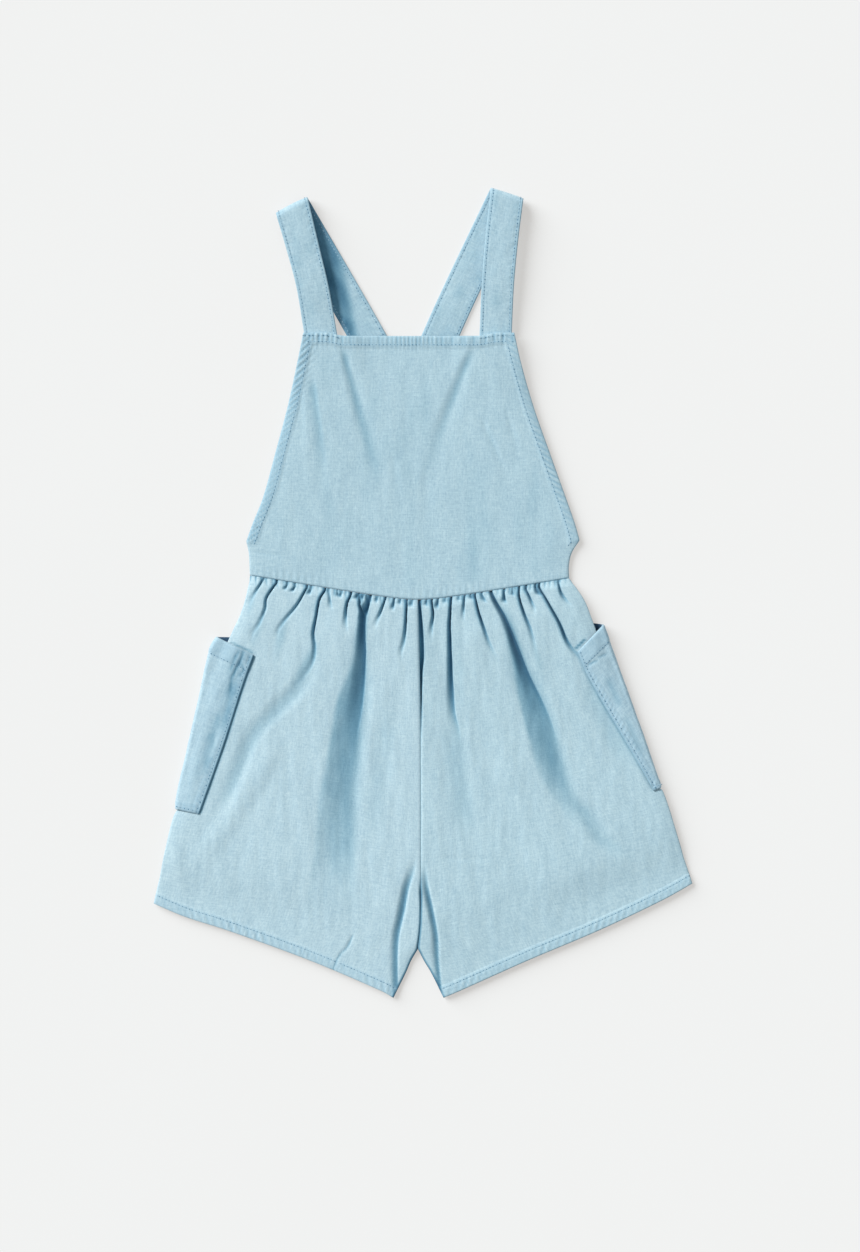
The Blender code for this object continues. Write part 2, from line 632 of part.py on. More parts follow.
class Leg:
    """The outline of a leg as a patch between its four edges, u to the right and v down."""

    def __init__(self, left, right, hem, outer_is_left, pocket, gathers, folds, inset):
        self.left = left
        self.right = right
        self.hem = Curve(hem)
        self.outer_is_left = outer_is_left
        self.pocket = pocket
        self.gathers = gathers
        self.folds = folds
        self.inset = inset

    def length(self, u):
        if self.outer_is_left:
            return mix(LEG_LENGTH_OUTER, LEG_LENGTH_INNER, u)
        return mix(LEG_LENGTH_INNER, LEG_LENGTH_OUTER, u)

    def point(self, u, v):
        """Blend the four edges, each taken without the corners that it shares."""
        left = self.left.at(v)
        right = self.right.at(v)
        corner_left = self.left.at(0.0)
        corner_right = self.right.at(0.0)
        x = mix(corner_left.x, corner_right.x, u)
        top = Vector((x, waist_y(x) - SEAM_GAP / 2.0))
        bottom = self.hem.at(u)
        corners_top = mix(corner_left, corner_right, u)
        corners_bottom = mix(self.left.at(1.0), self.right.at(1.0), u)
        blended = mix(top, bottom, v) + mix(left, right, u) - mix(corners_top, corners_bottom, v)
        return blended + Vector((self.inset * (1.0 - 2.0 * u), self.inset * ease(0.9, 1.0, v)))

    def valley_factor(self, x, y):
        """What is left of the panel's height where gathers and folds press into it."""
        factor = 1.0
        for waist_x, middle_x, foot_x, length, share, half_width in self.gathers:
            down = (waist_y(waist_x) - y) / length
            if down > 1.0:
                continue
            down = max(0.0, down)
            centre_x = path_x(waist_x, middle_x, foot_x, down)
            spread = half_width * (1.0 + GATHER_WIDENING * down * min(1.0, length / LONG_GATHER))
            depth = share * (1.0 - ease(GATHER_FADES_FROM, 1.0, down))
            factor *= 1.0 - depth * math.exp(-((x - centre_x) / spread) ** 2)
        for start_x, start_y, middle_x, end_x, end_y, share, half_width in self.folds:
            down = (start_y - y) / (start_y - end_y)
            if not 0.0 < down < 1.0:
                continue
            centre_x = path_x(start_x, middle_x, end_x, down)
            depth = share * ease(0.0, FOLD_FADE_IN, down)
            if end_y > RUNS_INTO_HEM_Y:
                depth *= 1.0 - ease(FOLD_FADE_OUT, 1.0, down)
            factor *= 1.0 - depth * math.exp(-((x - centre_x) / half_width) ** 2)
        return factor

    def base_height(self, x, y):
        """Underside of the front panel where it lies straight on the back panel."""
        return pocket_back_lift(x, y, self.pocket) + CLOTH + LAYER_GAP

    def puff(self, u, v):
        """Height of the front panel over its base before gathers and folds."""
        from_waist = v * self.length(u)
        from_hem = (1.0 - v) * self.length(u)
        height = mix(PUFF_AT_SEAM, PUFF_BELOW_SEAM, ease(0.0, PUFF_FULL_BY, from_waist))
        height = mix(height, PUFF_IN_THE_MIDDLE, ease(*PUFF_EASES, from_waist))
        height = mix(PUFF_AT_HEM, height, ease(0.0, PUFF_AT_HEM_REACH, from_hem))
        width = (self.right.at(v) - self.left.at(v)).length
        from_outer = (u if self.outer_is_left else 1.0 - u) * width
        from_inner = width - from_outer
        crotch = ease(*CROTCH_ROUNDING_SHARES, v)
        inner_radius = mix(SEAM_ROUNDING, SIDE_ROUNDING, crotch)
        inner_low = mix(SEAM_HEIGHT_SHARE, 0.0, crotch)
        inner_edge = mix(inner_low, 1.0, round_edge(from_inner, inner_radius))
        return height * round_edge(from_outer, SIDE_ROUNDING) * inner_edge

    def top_height(self, u, v, x, y):
        return self.base_height(x, y) + CLOTH + self.puff(u, v) * self.valley_factor(x, y)


def gather_columns(leg):
    """Shares across the waist with a point in each valley, on each ridge and between them."""
    left = leg.left.at(0.0).x
    right = leg.right.at(0.0).x
    valleys = [(row[0] - left) / (right - left) for row in leg.gathers]
    stops = [0.0] + valleys + [1.0]
    columns = []
    for before, after in zip(stops, stops[1:]):
        columns += [mix(before, after, share) for share in (0.0, 0.25, 0.5, 0.75)]
    return columns + [1.0]


def build_front_leg(name, leg, parent):
    """A front shorts panel, fine along its gathers and coarser below, with its hem raised."""
    fine = gather_columns(leg)
    coarse = [fine[index] for index in range(0, len(fine), 2)]
    evened = [mix(share, index / (len(coarse) - 1), EVENING) for index, share in enumerate(coarse)]
    plans = [(fine, depth, 0.0, 0.0) for depth in FINE_ROW_DEPTHS]
    for share in COARSE_ROW_SHARES:
        plans.append((mix_lists(coarse, evened, ease(*EVENING_SHARES, share)), 0.0, share, 0.0))
    for from_hem in (HEM_WIDTH + HEM_SLOPE, HEM_WIDTH, 0.0):
        plans.append((evened, 0.0, 1.0, from_hem))
    rows = []
    for columns, depth, share, from_hem in plans:
        row = []
        for u in columns:
            v = depth / leg.length(u) + share - from_hem / leg.length(u)
            x, y = leg.point(u, v)
            top = leg.top_height(u, v, x, y)
            change = leg.valley_factor(x + SLOPE_STEP, y) - leg.valley_factor(x - SLOPE_STEP, y)
            slope = abs(change) * leg.puff(u, v) / (2.0 * SLOPE_STEP)
            steepness = math.hypot(1.0, min(STEEPEST_SLOPE, slope))
            low = max(top - CLOTH * steepness, leg.base_height(x, y))
            on_hem = share == 1.0 and from_hem <= HEM_WIDTH
            row.append((x, y, low, top + (HEM_RISE if on_hem else 0.0)))
        rows.append(row)
    return sheet_piece(name, rows, LEG_BLUE, parent)


def mix_lists(first, second, share):
    """Blend two lists of the same length, value by value."""
    return [mix(one, other, share) for one, other in zip(first, second)]


def build_back_leg(name, leg, parent):
    """A back shorts panel: flat on the floor, and raised over the pocket back."""
    rows = []
    for v in even(BACK_LEG_ROWS):
        row = []
        for u in even(BACK_LEG_COLUMNS):
            x, y = leg.point(u, v)
            low = pocket_back_lift(x, y, leg.pocket)
            row.append((x, y, low, low + CLOTH))
        rows.append(row)
    return sheet_piece(name, rows, BACK_BLUE, parent)


def surface_tree(piece):
    """A search tree over a piece's faces, in millimetres from the playsuit's own origin."""
    points = [(point.co + piece.location) / MM for point in piece.data.vertices]
    return BVHTree.FromPolygons(points, [tuple(face.vertices) for face in piece.data.polygons])


def highest_near(tree, x, y, radius):
    """Top of the surface within a radius of a place on the page, or None beside it."""
    heights = []
    places = [(x, y)]
    for turn in range(POCKET_REST_DIRECTIONS):
        angle = 2.0 * math.pi * turn / POCKET_REST_DIRECTIONS
        places.append((x + radius * math.cos(angle), y + radius * math.sin(angle)))
    for place_x, place_y in places:
        above = Vector((place_x, place_y, OVER_EVERYTHING))
        place = tree.ray_cast(above, Vector((0.0, 0.0, -1.0)))[0]
        if place:
            heights.append(place.z)
    return max(heights) if heights else None


def build_pocket(name, pocket, panel, parent):
    """A patch pocket from its front edge, round the leg's side fold, to its back edge."""
    tree = surface_tree(panel)
    fold, front = Curve(pocket[0]), Curve(pocket[1])
    fold_direction = (fold.at(1.0) - fold.at(0.0)).normalized()
    length = (fold.at(1.0) - fold.at(0.0)).length
    rows = []
    for share in even(POCKET_ROWS):
        outer = fold.at(share)
        inner = front.at(share)
        front_way = (inner - outer).normalized()
        back_way = front_way - 2.0 * front_way.dot(fold_direction) * fold_direction
        outer = outer + front_way * CLOTH / 2.0
        front_width = (inner - outer).length
        gape = POCKET_MOUTH_GAPE * (1.0 - ease(0.0, POCKET_GAPE_LENGTH, share * length))
        clearance = POCKET_REST_GAP + CLOTH / 2.0 + gape
        front_points = []
        level = None
        for across in even(POCKET_FRONT_COLUMNS):
            place = mix(inner, outer + front_way * POCKET_TURN, across)
            below = highest_near(tree, *place, POCKET_REST_RADIUS)
            level = level if below is None else below + clearance
            front_points.append((*place, level))
        row = front_points[:]
        bottom = CLOTH / 2.0
        for step in range(1, POCKET_TURN_STEPS):
            angle = math.pi * step / POCKET_TURN_STEPS
            inward = mix(front_way, back_way, step / POCKET_TURN_STEPS)
            place = outer + inward * POCKET_TURN * (1.0 - math.sin(angle))
            row.append((*place, mix(bottom, level, (1.0 + math.cos(angle)) / 2.0)))
        back_width = POCKET_WIDTH - front_width
        for across in even(POCKET_BACK_COLUMNS):
            place = outer + back_way * mix(POCKET_TURN, back_width, across)
            row.append((*place, bottom))
        rows.append(row)
    return thick_piece(name, rows, CLOTH, POCKET_BLUE, parent)


def shifted(points, amount):
    """The same outline moved sideways by half a seam gap."""
    return [(x + amount, y) for x, y in points]


def build_legs(parent):
    """Both legs, front and back, and the pockets round their outer folds."""
    half_gap = SEAM_GAP / 2.0
    left_inner = CorneredCurve(shifted(CENTRE_SEAM, -half_gap), shifted(LEFT_INSEAM, -half_gap), CROTCH_SHARE)
    right_inner = CorneredCurve(shifted(CENTRE_SEAM, half_gap), shifted(RIGHT_INSEAM, half_gap), CROTCH_SHARE)
    left_pocket = (LEFT_POCKET_FOLD, LEFT_POCKET_FRONT)
    right_pocket = (RIGHT_POCKET_FOLD, RIGHT_POCKET_FRONT)
    left_cut = (Curve(LEFT_OUTER), left_inner, LEFT_HEM, True)
    right_cut = (right_inner, Curve(RIGHT_OUTER), RIGHT_HEM, False)
    for side, cut, pocket, gathers, folds in (
        ("left", left_cut, left_pocket, LEFT_GATHERS, LEFT_FOLDS),
        ("right", right_cut, right_pocket, RIGHT_GATHERS, RIGHT_FOLDS),
    ):
        build_back_leg("back_leg_" + side, Leg(*cut, pocket, gathers, folds, BACK_INSET), parent)
        panel = build_front_leg("front_leg_" + side, Leg(*cut, pocket, gathers, folds, 0.0), parent)
        build_pocket("pocket_" + side, pocket, panel, parent)


def build_straps(parent):
    """Both straps. The right one crosses over the left one behind the bib."""
    left_end = (LEFT_STRAP_END_X, STRAP_END_Y)
    right_end = (RIGHT_STRAP_END_X, STRAP_END_Y)
    build_strap("strap_left", LEFT_STRAP_FRONT, [LEFT_STRAP_BEND, left_end], None, parent)
    build_strap("strap_right", RIGHT_STRAP_FRONT, [RIGHT_STRAP_BEND, right_end],
                (LEFT_STRAP_BEND, left_end), parent)


def centre_on_floor(parent):
    """Put the middle of the whole playsuit over the origin, with its underside on the floor."""
    bpy.context.view_layer.update()
    corners = [piece.matrix_world @ point.co for piece in parent.children for point in piece.data.vertices]
    low = Vector([min(corner[axis] for corner in corners) for axis in range(3)])
    high = Vector([max(corner[axis] for corner in corners) for axis in range(3)])
    parent.location = Vector((-(low.x + high.x) / 2.0, -(low.y + high.y) / 2.0, -low.z))


def main():
    for old in list(bpy.data.objects):
        bpy.data.objects.remove(old, do_unlink=True)
    playsuit = bpy.data.objects.new("playsuit", None)
    bpy.context.scene.collection.objects.link(playsuit)
    build_bib(playsuit)
    build_back_waist(playsuit)
    build_straps(playsuit)
    build_legs(playsuit)
    centre_on_floor(playsuit)


main()
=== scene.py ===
"""A child's playsuit of pale blue chambray, laid flat on its back: the looks.

Every piece of cloth is a thin shell on the form of its solid. Shapes are worked out in
millimetres, the cut's own unit, and made into meshes in metres. Left and right are the viewer's.
"""
import math

import bpy
import numpy as np
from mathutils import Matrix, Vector, noise
from mathutils.bvhtree import BVHTree


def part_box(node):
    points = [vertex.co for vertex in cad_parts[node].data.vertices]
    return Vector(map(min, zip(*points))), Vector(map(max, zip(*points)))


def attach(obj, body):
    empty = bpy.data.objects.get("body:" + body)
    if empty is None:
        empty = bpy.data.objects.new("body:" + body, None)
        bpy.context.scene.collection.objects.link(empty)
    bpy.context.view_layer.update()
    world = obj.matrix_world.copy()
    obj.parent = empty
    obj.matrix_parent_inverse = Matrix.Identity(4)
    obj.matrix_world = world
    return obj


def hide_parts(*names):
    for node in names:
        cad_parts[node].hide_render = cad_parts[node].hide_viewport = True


bl_info = {
    "name": "Chambray Playsuit",
    "version": (1, 0, 0),
    "blender": (4, 5, 0),
    "location": "3D View > Sidebar > Playsuit",
    "description": "Makes a laid-out chambray playsuit: bib, straps, gathered legs, pockets and stitches",
    "category": "Add Mesh",
}

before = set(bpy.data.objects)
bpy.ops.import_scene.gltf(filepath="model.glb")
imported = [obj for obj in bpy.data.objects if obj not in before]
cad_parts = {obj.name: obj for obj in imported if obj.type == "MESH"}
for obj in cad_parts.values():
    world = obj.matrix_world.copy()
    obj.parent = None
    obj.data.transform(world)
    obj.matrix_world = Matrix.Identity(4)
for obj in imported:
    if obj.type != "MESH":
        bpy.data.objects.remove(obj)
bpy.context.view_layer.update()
MM = 0.001

# Cloth
CLOTH = 1.0
STRAP_CLOTH = 2.0
SEAM_GAP = 0.1
LAYER_GAP = 0.4
HEM_WIDTH = 8.0
HEM_RISE = 0.75
THINNEST_WALL = 0.3
GROOVE_WIDTH = 0.8
EDGE_GROOVE_WIDTH = 0.7
STITCH_INSET = 7.0
EDGE_STITCH_INSET = 2.4

# Bib: the armhole edges and, below them, the side seams
ARMHOLE_EDGES = (
    # y, left, right
    (207.6, -95.4, 72.8),
    (186.0, -100.0, 77.8),
    (150.0, -108.2, 88.4),
    (114.0, -117.8, 101.0),
    (78.0, -127.6, 113.6),
    (56.0, -136.0, 121.0),
    (41.0, -141.2, 125.2),
)
SIDE_SEAMS = (
    # y, left, right
    (41.0, -141.2, 125.2),
    (32.0, -139.2, 119.0),
    (22.0, -138.6, 116.6),
    (11.0, -138.2, 116.8),
)
BIB_TOP_Y = 207.6
BIB_TOP_SAG = 2.6
BIB_TOP_MIDDLE_X = -9.0
BIB_TOP_SAG_HALF_WIDTH = 58.0
BIB_UNDERSIDE_AT_WAIST = 3.4
BIB_UNDERSIDE_AT_TOP = 6.4
BIB_RISES_TO_Y = 180.0
BIB_SIDE_ROUNDING = 26.0
BIB_SIDE_LIFT = 3.0
BIB_ON_STRAPS_FROM_Y = 150.0
BIB_ON_STRAPS_FULLY_Y = 204.0
STRAP_PLACES_UNDER_BIB = (-80.0, 58.0)
BIB_FULL_LIFT_REACH = 22.0
BIB_NO_LIFT_REACH = 38.0

# How far the frame's y lies over the cut's
SHIFT_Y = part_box("bib_front")[1].y / MM - BIB_TOP_Y

# Waist seam: a shallow V with a rounded point
WAIST_MIDDLE_X = -4.0
WAIST_LOW_Y = -5.2
WAIST_SLOPE = 0.165
WAIST_ROUNDING = 3.0

# Straps: the left and right edge of each front part, from the tucked end to the shoulder
STRAP_WIDTH = 28.0
STRAP_TURN_RADIUS = 4.0
STRAP_FRONT_END_HEIGHT = 5.4
STRAP_FRONT_HEIGHT = 8.0
LEFT_STRAP_FRONT = (
    # left x, left y, right x, right y
    (-93.2, 199.0, -67.4, 199.0),
    (-94.8, 207.2, -68.6, 207.2),
    (-100.8, 243.5, -75.0, 243.5),
    (-109.2, 275.2, -82.4, 275.2),
    (-117.6, 303.6, -92.2, 316.6),
)
RIGHT_STRAP_FRONT = (
    # left x, left y, right x, right y
    (44.8, 199.0, 70.4, 199.0),
    (45.2, 207.2, 70.8, 207.2),
    (46.8, 246.0, 72.6, 246.0),
    (49.6, 282.0, 76.0, 282.0),
    (54.2, 323.6, 80.2, 315.2),
)
STRAP_END_Y = 31.0
LEFT_STRAP_BEND = (-45.6, 207.2)
LEFT_STRAP_END_X = 51.5
RIGHT_STRAP_BEND = (14.6, 207.2)
RIGHT_STRAP_END_X = -59.4
STRAP_CLEAR_OF_WAIST_Y = (50.0, 74.0)
STRAP_CLEAR_OF_STRAP_REACH = (24.0, 48.0)
STRAP_COLUMNS = 22
STRAP_FRONT_ROWS = 80
STRAP_TURN_STEPS = 16
STRAP_BACK_ROWS = 190
STRAP_STRAIGHTENS_BY = 0.12
# Painted shadow that each front part casts on its strap's back part
BACK_STRAP_SHADE = {"left": 0.67, "right": 0.19}

# Back waist panel, between the side seams
BACK_WAIST_TOP_Y = 41.0
BACK_INSET = 1.2
BACK_WAIST_COLUMNS = 110
BACK_WAIST_ROWS = 24
BACK_RIPPLE = 0.16
BACK_RIPPLE_PITCH = 4.6

# Legs: x, y down each edge. The centre seam ends at the crotch, where the inseams begin
LEFT_OUTER = (
    (-138.2, 13.6), (-142.4, -5.6), (-146.4, -17.6), (-152.0, -29.6), (-160.0, -48.0),
    (-173.0, -85.6), (-184.6, -125.6), (-193.9, -168.0), (-199.4, -178.0), (-206.4, -206.0),
    (-215.2, -248.0),
)
RIGHT_OUTER = (
    (116.8, 12.6), (122.4, 5.6), (129.6, -5.6), (134.4, -17.6), (142.0, -38.0),
    (157.0, -77.6), (167.6, -101.6), (177.4, -127.0), (186.4, -152.6), (191.8, -157.4),
    (204.8, -197.6), (215.2, -232.0),
)
CENTRE_SEAM = (
    (-4.0, -5.2), (-2.4, -76.0), (-1.6, -145.6), (-1.6, -213.6), (-2.0, -262.0), (-4.0, -284.0),
)
LEFT_INSEAM = ((-4.0, -284.0), (-9.6, -293.6), (-13.6, -303.0), (-23.6, -323.4))
RIGHT_INSEAM = ((-4.0, -284.0), (0.8, -293.6), (6.4, -303.0), (16.4, -323.4))
CROTCH_SHARE = 0.865
LEFT_HEM = (
    (-215.2, -248.0), (-190.6, -258.4), (-155.2, -269.8), (-89.6, -293.8), (-33.0, -318.0), (-23.6, -323.4),
)
RIGHT_HEM = (
    (16.4, -323.4), (31.2, -317.0), (84.0, -293.4), (141.6, -269.0), (192.0, -245.0), (215.2, -232.0),
)
LEG_LENGTH_OUTER = 272.0
LEG_LENGTH_INNER = 322.0
LEG_COLUMNS = 188
BACK_LEG_COLUMNS = 66
WAIST_ROWS_DEPTH = 40.0
WAIST_ROW_STEP = 1.0
LEG_MIDDLE_ROWS = 140
HEM_ROWS_DEPTH = 12.0
HEM_ROW_STEP = 1.0

# Height of the front panels over the back ones
PUFF_AT_SEAM = 2.5
PUFF_BELOW_SEAM = 4.8
PUFF_IN_THE_MIDDLE = 3.6
PUFF_AT_HEM = 0.9
PUFF_FULL_BY = 8.0
PUFF_EASES = (30.0, 150.0)
PUFF_AT_HEM_REACH = 70.0
SIDE_ROUNDING = 12.0
SIDE_TUCK = 0.9
SEAM_ROUNDING = 3.0
SEAM_HEIGHT_SHARE = 0.72
CROTCH_ROUNDING_SHARES = (0.84, 0.90)

# Gathers: a valley's way down from the waist seam, how deep it is as a share of the puff,
# where along it it starts to fade, and how far it spreads to its left and right
LEFT_GATHERS = (
    # path of x, y; share of the height; fades from; spread left, spread right
    (((-127.4, 11.2), (-134.7, -0.6), (-138.4, -8.0), (-141.0, -16.0)), 0.78, -0.3, 1.5, 1.2),
    (((-117.0, 8.0), (-125.0, -4.0), (-126.2, -12.8), (-131.0, -24.8), (-136.0, -32.4), (-138.5, -46.0)),
     0.96, -0.3, 1.5, 1.3),
    (((-109.0, 6.4), (-110.8, 1.8)), 0.6, 0.4, 1.4, 1.2),
    (((-102.6, 4.8), (-105.4, 0.2)), 0.6, 0.4, 1.4, 1.2),
    (((-93.0, 4.0), (-100.4, -9.1), (-104.0, -14.0), (-112.0, -24.0), (-116.3, -31.2), (-117.0, -44.0)),
     0.88, -0.25, 1.5, 1.1),
    (((-89.6, 3.4), (-91.4, -2.4)), 0.55, 0.4, 1.4, 1.1),
    (((-78.2, 2.0), (-82.6, -5.4), (-85.1, -19.0), (-87.5, -32.4), (-86.4, -42.2), (-87.4, -52.6),
      (-92.0, -62.4), (-108.0, -82.0)), 0.90, 0.05, 1.6, 1.3),
    (((-75.2, 0.0), (-73.0, -15.0)), 0.35, 0.4, 1.6, 1.8),
    (((-69.0, 0.2), (-67.2, -3.4)), 0.5, 0.4, 1.2, 1.2),
    (((-65.2, -0.2), (-66.4, -4.0)), 0.5, 0.4, 1.2, 1.2),
    (((-57.6, -1.6), (-60.6, -9.0), (-61.8, -22.6), (-60.8, -34.0)), 0.86, 0.1, 1.6, 1.4),
    (((-52.0, -1.0), (-54.2, -5.4)), 0.55, 0.4, 1.3, 1.2),
    (((-47.6, -1.4), (-49.4, -6.0)), 0.55, 0.4, 1.3, 1.2),
    (((-41.6, -2.2), (-44.0, -12.0), (-46.2, -22.0), (-46.6, -33.6), (-46.2, -46.4), (-47.2, -67.2),
      (-49.4, -89.6), (-53.2, -110.4), (-55.4, -133.6)), 0.95, 0.30, 5.5, 1.2),
    (((-51.0, -9.0), (-48.6, -15.0), (-47.6, -24.0)), 0.70, 0.6, 2.0, 1.5),
    (((-36.2, -2.8), (-37.8, -7.8)), 0.5, 0.4, 1.2, 1.1),
    (((-30.0, -4.6), (-34.4, -16.5), (-38.0, -25.0), (-38.8, -31.0)), 0.80, 0.0, 1.4, 1.4),
    (((-23.2, -5.0), (-24.5, -15.2)), 0.62, 0.4, 1.5, 1.4),
    (((-18.4, -5.6), (-19.0, -9.4)), 0.5, 0.4, 1.2, 1.1),
    (((-12.8, -5.8), (-13.5, -22.4), (-15.2, -38.4), (-17.8, -49.6), (-14.6, -60.0)), 0.90, 0.1, 1.5, 1.5),
    (((-8.8, -5.8), (-9.6, -12.0)), 0.55, 0.4, 1.2, 1.2),
)
RIGHT_GATHERS = (
    # path of x, y; share of the height; fades from; spread left, spread right
    (((-2.8, -5.8), (-1.2, -20.0), (0.2, -37.3), (0.4, -52.0), (-0.8, -62.0), (-1.6, -84.0), (-1.8, -128.0)),
     0.92, 0.5, 4.6, 1.2),
    (((2.2, -5.8), (2.6, -11.0)), 0.5, 0.4, 1.2, 1.2),
    (((7.0, -6.0), (8.6, -16.5), (7.4, -26.2), (6.2, -41.0)), 0.85, 0.1, 1.5, 1.5),
    (((11.8, -5.0), (11.6, -14.0)), 0.58, 0.4, 1.3, 1.2),
    (((17.4, -4.6), (17.8, -8.4)), 0.5, 0.4, 1.2, 1.2),
    (((22.7, -3.6), (22.4, -16.5), (22.0, -25.0), (22.8, -47.0), (23.8, -71.5), (25.2, -96.0), (28.0, -108.2),
      (28.8, -125.4)), 0.90, 0.5, 2.6, 1.4),
    (((28.4, -2.6), (28.8, -6.8)), 0.45, 0.4, 1.2, 1.2),
    (((33.1, -2.4), (32.5, -14.0), (31.8, -25.0)), 0.74, 0.0, 1.4, 1.4),
    (((37.4, -1.4), (39.6, -5.6)), 0.55, 0.4, 1.2, 1.2),
    (((41.6, -1.1), (45.4, -16.5), (49.0, -27.4), (52.7, -38.4), (58.8, -52.0), (63.7, -59.2)),
     0.92, 0.1, 1.5, 1.5),
    (((46.6, -0.6), (50.9, -8.5)), 0.6, 0.4, 1.5, 1.3),
    (((54.6, 1.0), (59.4, -7.8), (66.0, -19.2), (76.0, -43.2), (84.4, -64.8), (94.6, -86.4), (102.0, -104.8),
      (108.5, -128.0)), 0.95, 0.35, 4.2, 1.2),
    (((64.6, 0.8), (66.2, -9.1)), 0.70, 0.5, 1.6, 1.4),
    (((71.0, 1.6), (72.4, -3.0)), 0.5, 0.4, 1.3, 1.2),
    (((76.6, 4.4), (77.2, -3.0), (80.8, -15.2), (85.6, -27.4), (88.2, -37.3), (90.6, -52.0)),
     0.88, 0.1, 1.5, 1.4),
    (((82.1, 3.2), (85.8, -4.2), (88.8, -12.8), (88.2, -18.9)), 0.78, 0.0, 1.4, 1.3),
    (((89.4, 5.0), (94.3, -3.0)), 0.62, 0.5, 1.5, 1.3),
    (((92.4, 5.6), (101.0, -9.2), (109.4, -24.0), (115.4, -38.0), (121.4, -47.2), (128.6, -56.5)),
     0.82, 0.6, 1.3, 1.1),
    (((107.6, 8.4), (111.6, -1.6), (120.4, -13.0)), 0.60, 0.3, 1.4, 1.2),
)

GATHER_SHIFT = 0.8
GATHER_NARROW = 0.45
GATHER_WIDENING = 1.3
# Painted shade in the gathers and folds: a dark core along each slit, a shade over each valley's soft side
# and over the lit rim where the cloth laps over the slit, and a shade over the broad folds
SLIT_WIDTH = 1.9
SLIT_WIDENING = 0.7
SLIT_SHADE = 0.95
VALLEY_SHADE = 0.46
VALLEY_SHADE_REACH = 2.7
RIM_WIDTH = 0.8
RIM_SHADE = 0.3
LAP_EDGE = 0.9
LAP_REACH = 5.0
FOLD_SHADE_SHARE = 0.8

# Painted shade in the darkest hollows of the gathers
HOLLOWS = (
    # x, y, x and y further down the hollow, half width, half length, strength
    (-49.0, -30.0, -51.5, -48.0, 3.6, 20.0, 0.80),
    (-48.8, -25.0, -48.6, -36.0, 2.3, 14.0, 0.80),
    (-53.0, -76.0, -57.0, -100.0, 5.0, 30.0, 0.35),
    (75.0, -47.0, 80.0, -66.0, 4.2, 28.0, 0.80),
    (74.4, -46.0, 79.0, -63.0, 2.6, 17.0, 0.75),
    (-1.4, -34.0, -1.2, -50.0, 2.0, 26.0, 0.30),
    (-132.0, -30.0, -138.0, -48.0, 3.4, 15.0, 0.22),
    (-137.0, -10.0, -141.0, -20.0, 2.2, 9.0, 0.22),
    (-113.0, -34.0, -117.0, -52.0, 3.8, 16.0, 0.26),
    (-93.0, -56.0, -108.0, -82.0, 4.2, 20.0, 0.30),
    (29.5, -60.0, 30.5, -90.0, 3.6, 40.0, 0.12),
    (92.0, -52.0, 96.0, -66.0, 3.0, 14.0, 0.22),
)

# Painted shade over the broad shaded side of each leg's deepest fold
FACETS = {
    # x, y, half width, strength
    "left": (
        (-50.0, -45.0, 3.0, 0.00), (-54.0, -65.0, 6.4, 0.34), (-59.0, -85.0, 9.6, 0.42),
        (-62.0, -110.0, 11.2, 0.40), (-65.6, -137.0, 12.4, 0.33), (-70.4, -165.0, 13.6, 0.24),
        (-70.4, -206.0, 17.0, 0.17), (-73.0, -240.0, 20.0, 0.09), (-76.0, -280.0, 22.0, 0.00),
    ),
    "right": (
        (74.0, -50.0, 3.0, 0.00), (79.2, -70.0, 5.4, 0.32), (84.8, -86.0, 8.0, 0.40),
        (90.0, -102.0, 9.6, 0.38), (95.0, -118.0, 10.2, 0.34), (98.8, -134.0, 10.2, 0.28),
        (103.0, -146.0, 9.6, 0.21), (123.0, -180.0, 7.0, 0.12), (142.0, -205.0, 5.0, 0.00),
    ),
}
FACET_SOFT_LEFT = 2.8
FACET_SOFT_RIGHT = 5.0

# Relief along the seams and the stitched edges, the bluer tone of the hem bands, and painted shade along the
# waist seam and between the puckers
RUFFLE_PITCH = 4.1
RUFFLE_HEIGHT = 0.45
RUFFLE_SHADE = 0.6
SEAM_DIP = 0.5
SEAM_SHADE = 0.25
HEM_PUCKER_PITCH = 6.4
HEM_FINE_PITCH = 3.1
HEM_DYE = 0.42
PUCKER_HEIGHT = 0.46
PUCKER_BEYOND = 0.18
HEM_GROOVE = 0.34
HEM_EDGE_DROP = 0.15
ARMHOLE_PUCKER_LEFT = 0.62
ARMHOLE_PUCKER_RIGHT = 0.42
ARMHOLE_PUCKER_BEYOND = 0.20
BIB_GROOVE = 0.32
BIB_SEAM_TICK = 0.32
BIB_EDGE_DROP = 0.2
BIB_SEAM_DROP = 0.4
STRAP_BOW = 0.35
STRAP_PUCKER = 0.20
STRAP_GROOVE = 0.28
POCKET_HEM_RISE = 0.35
POCKET_EDGE_RISE = 0.2
POCKET_EDGE_DROP = 0.6
POCKET_PUCKER = 0.26
POCKET_GROOVE = 0.30

# Painted shade in the crotch's slit, and painted shadow along the line beside each pocket and at each
# pocket's mouth
CROTCH_SLIT_SHARES = (0.66, 0.74)
CROTCH_SLIT_WIDTH = 1.9
CROTCH_SLIT_SHADE = 0.9
POCKET_LINE_WIDTH = 1.5
POCKET_LINE_SHADE = {"left": 0.7, "right": 0.3}
MOUTH_LINES = {
    # start, end, half width, strength
    "left": ((-154.0, -39.0), (-134.0, -48.4), 1.2, 0.5),
    "right": ((121.0, -45.2), (130.4, -35.8), 1.1, 0.8),
}

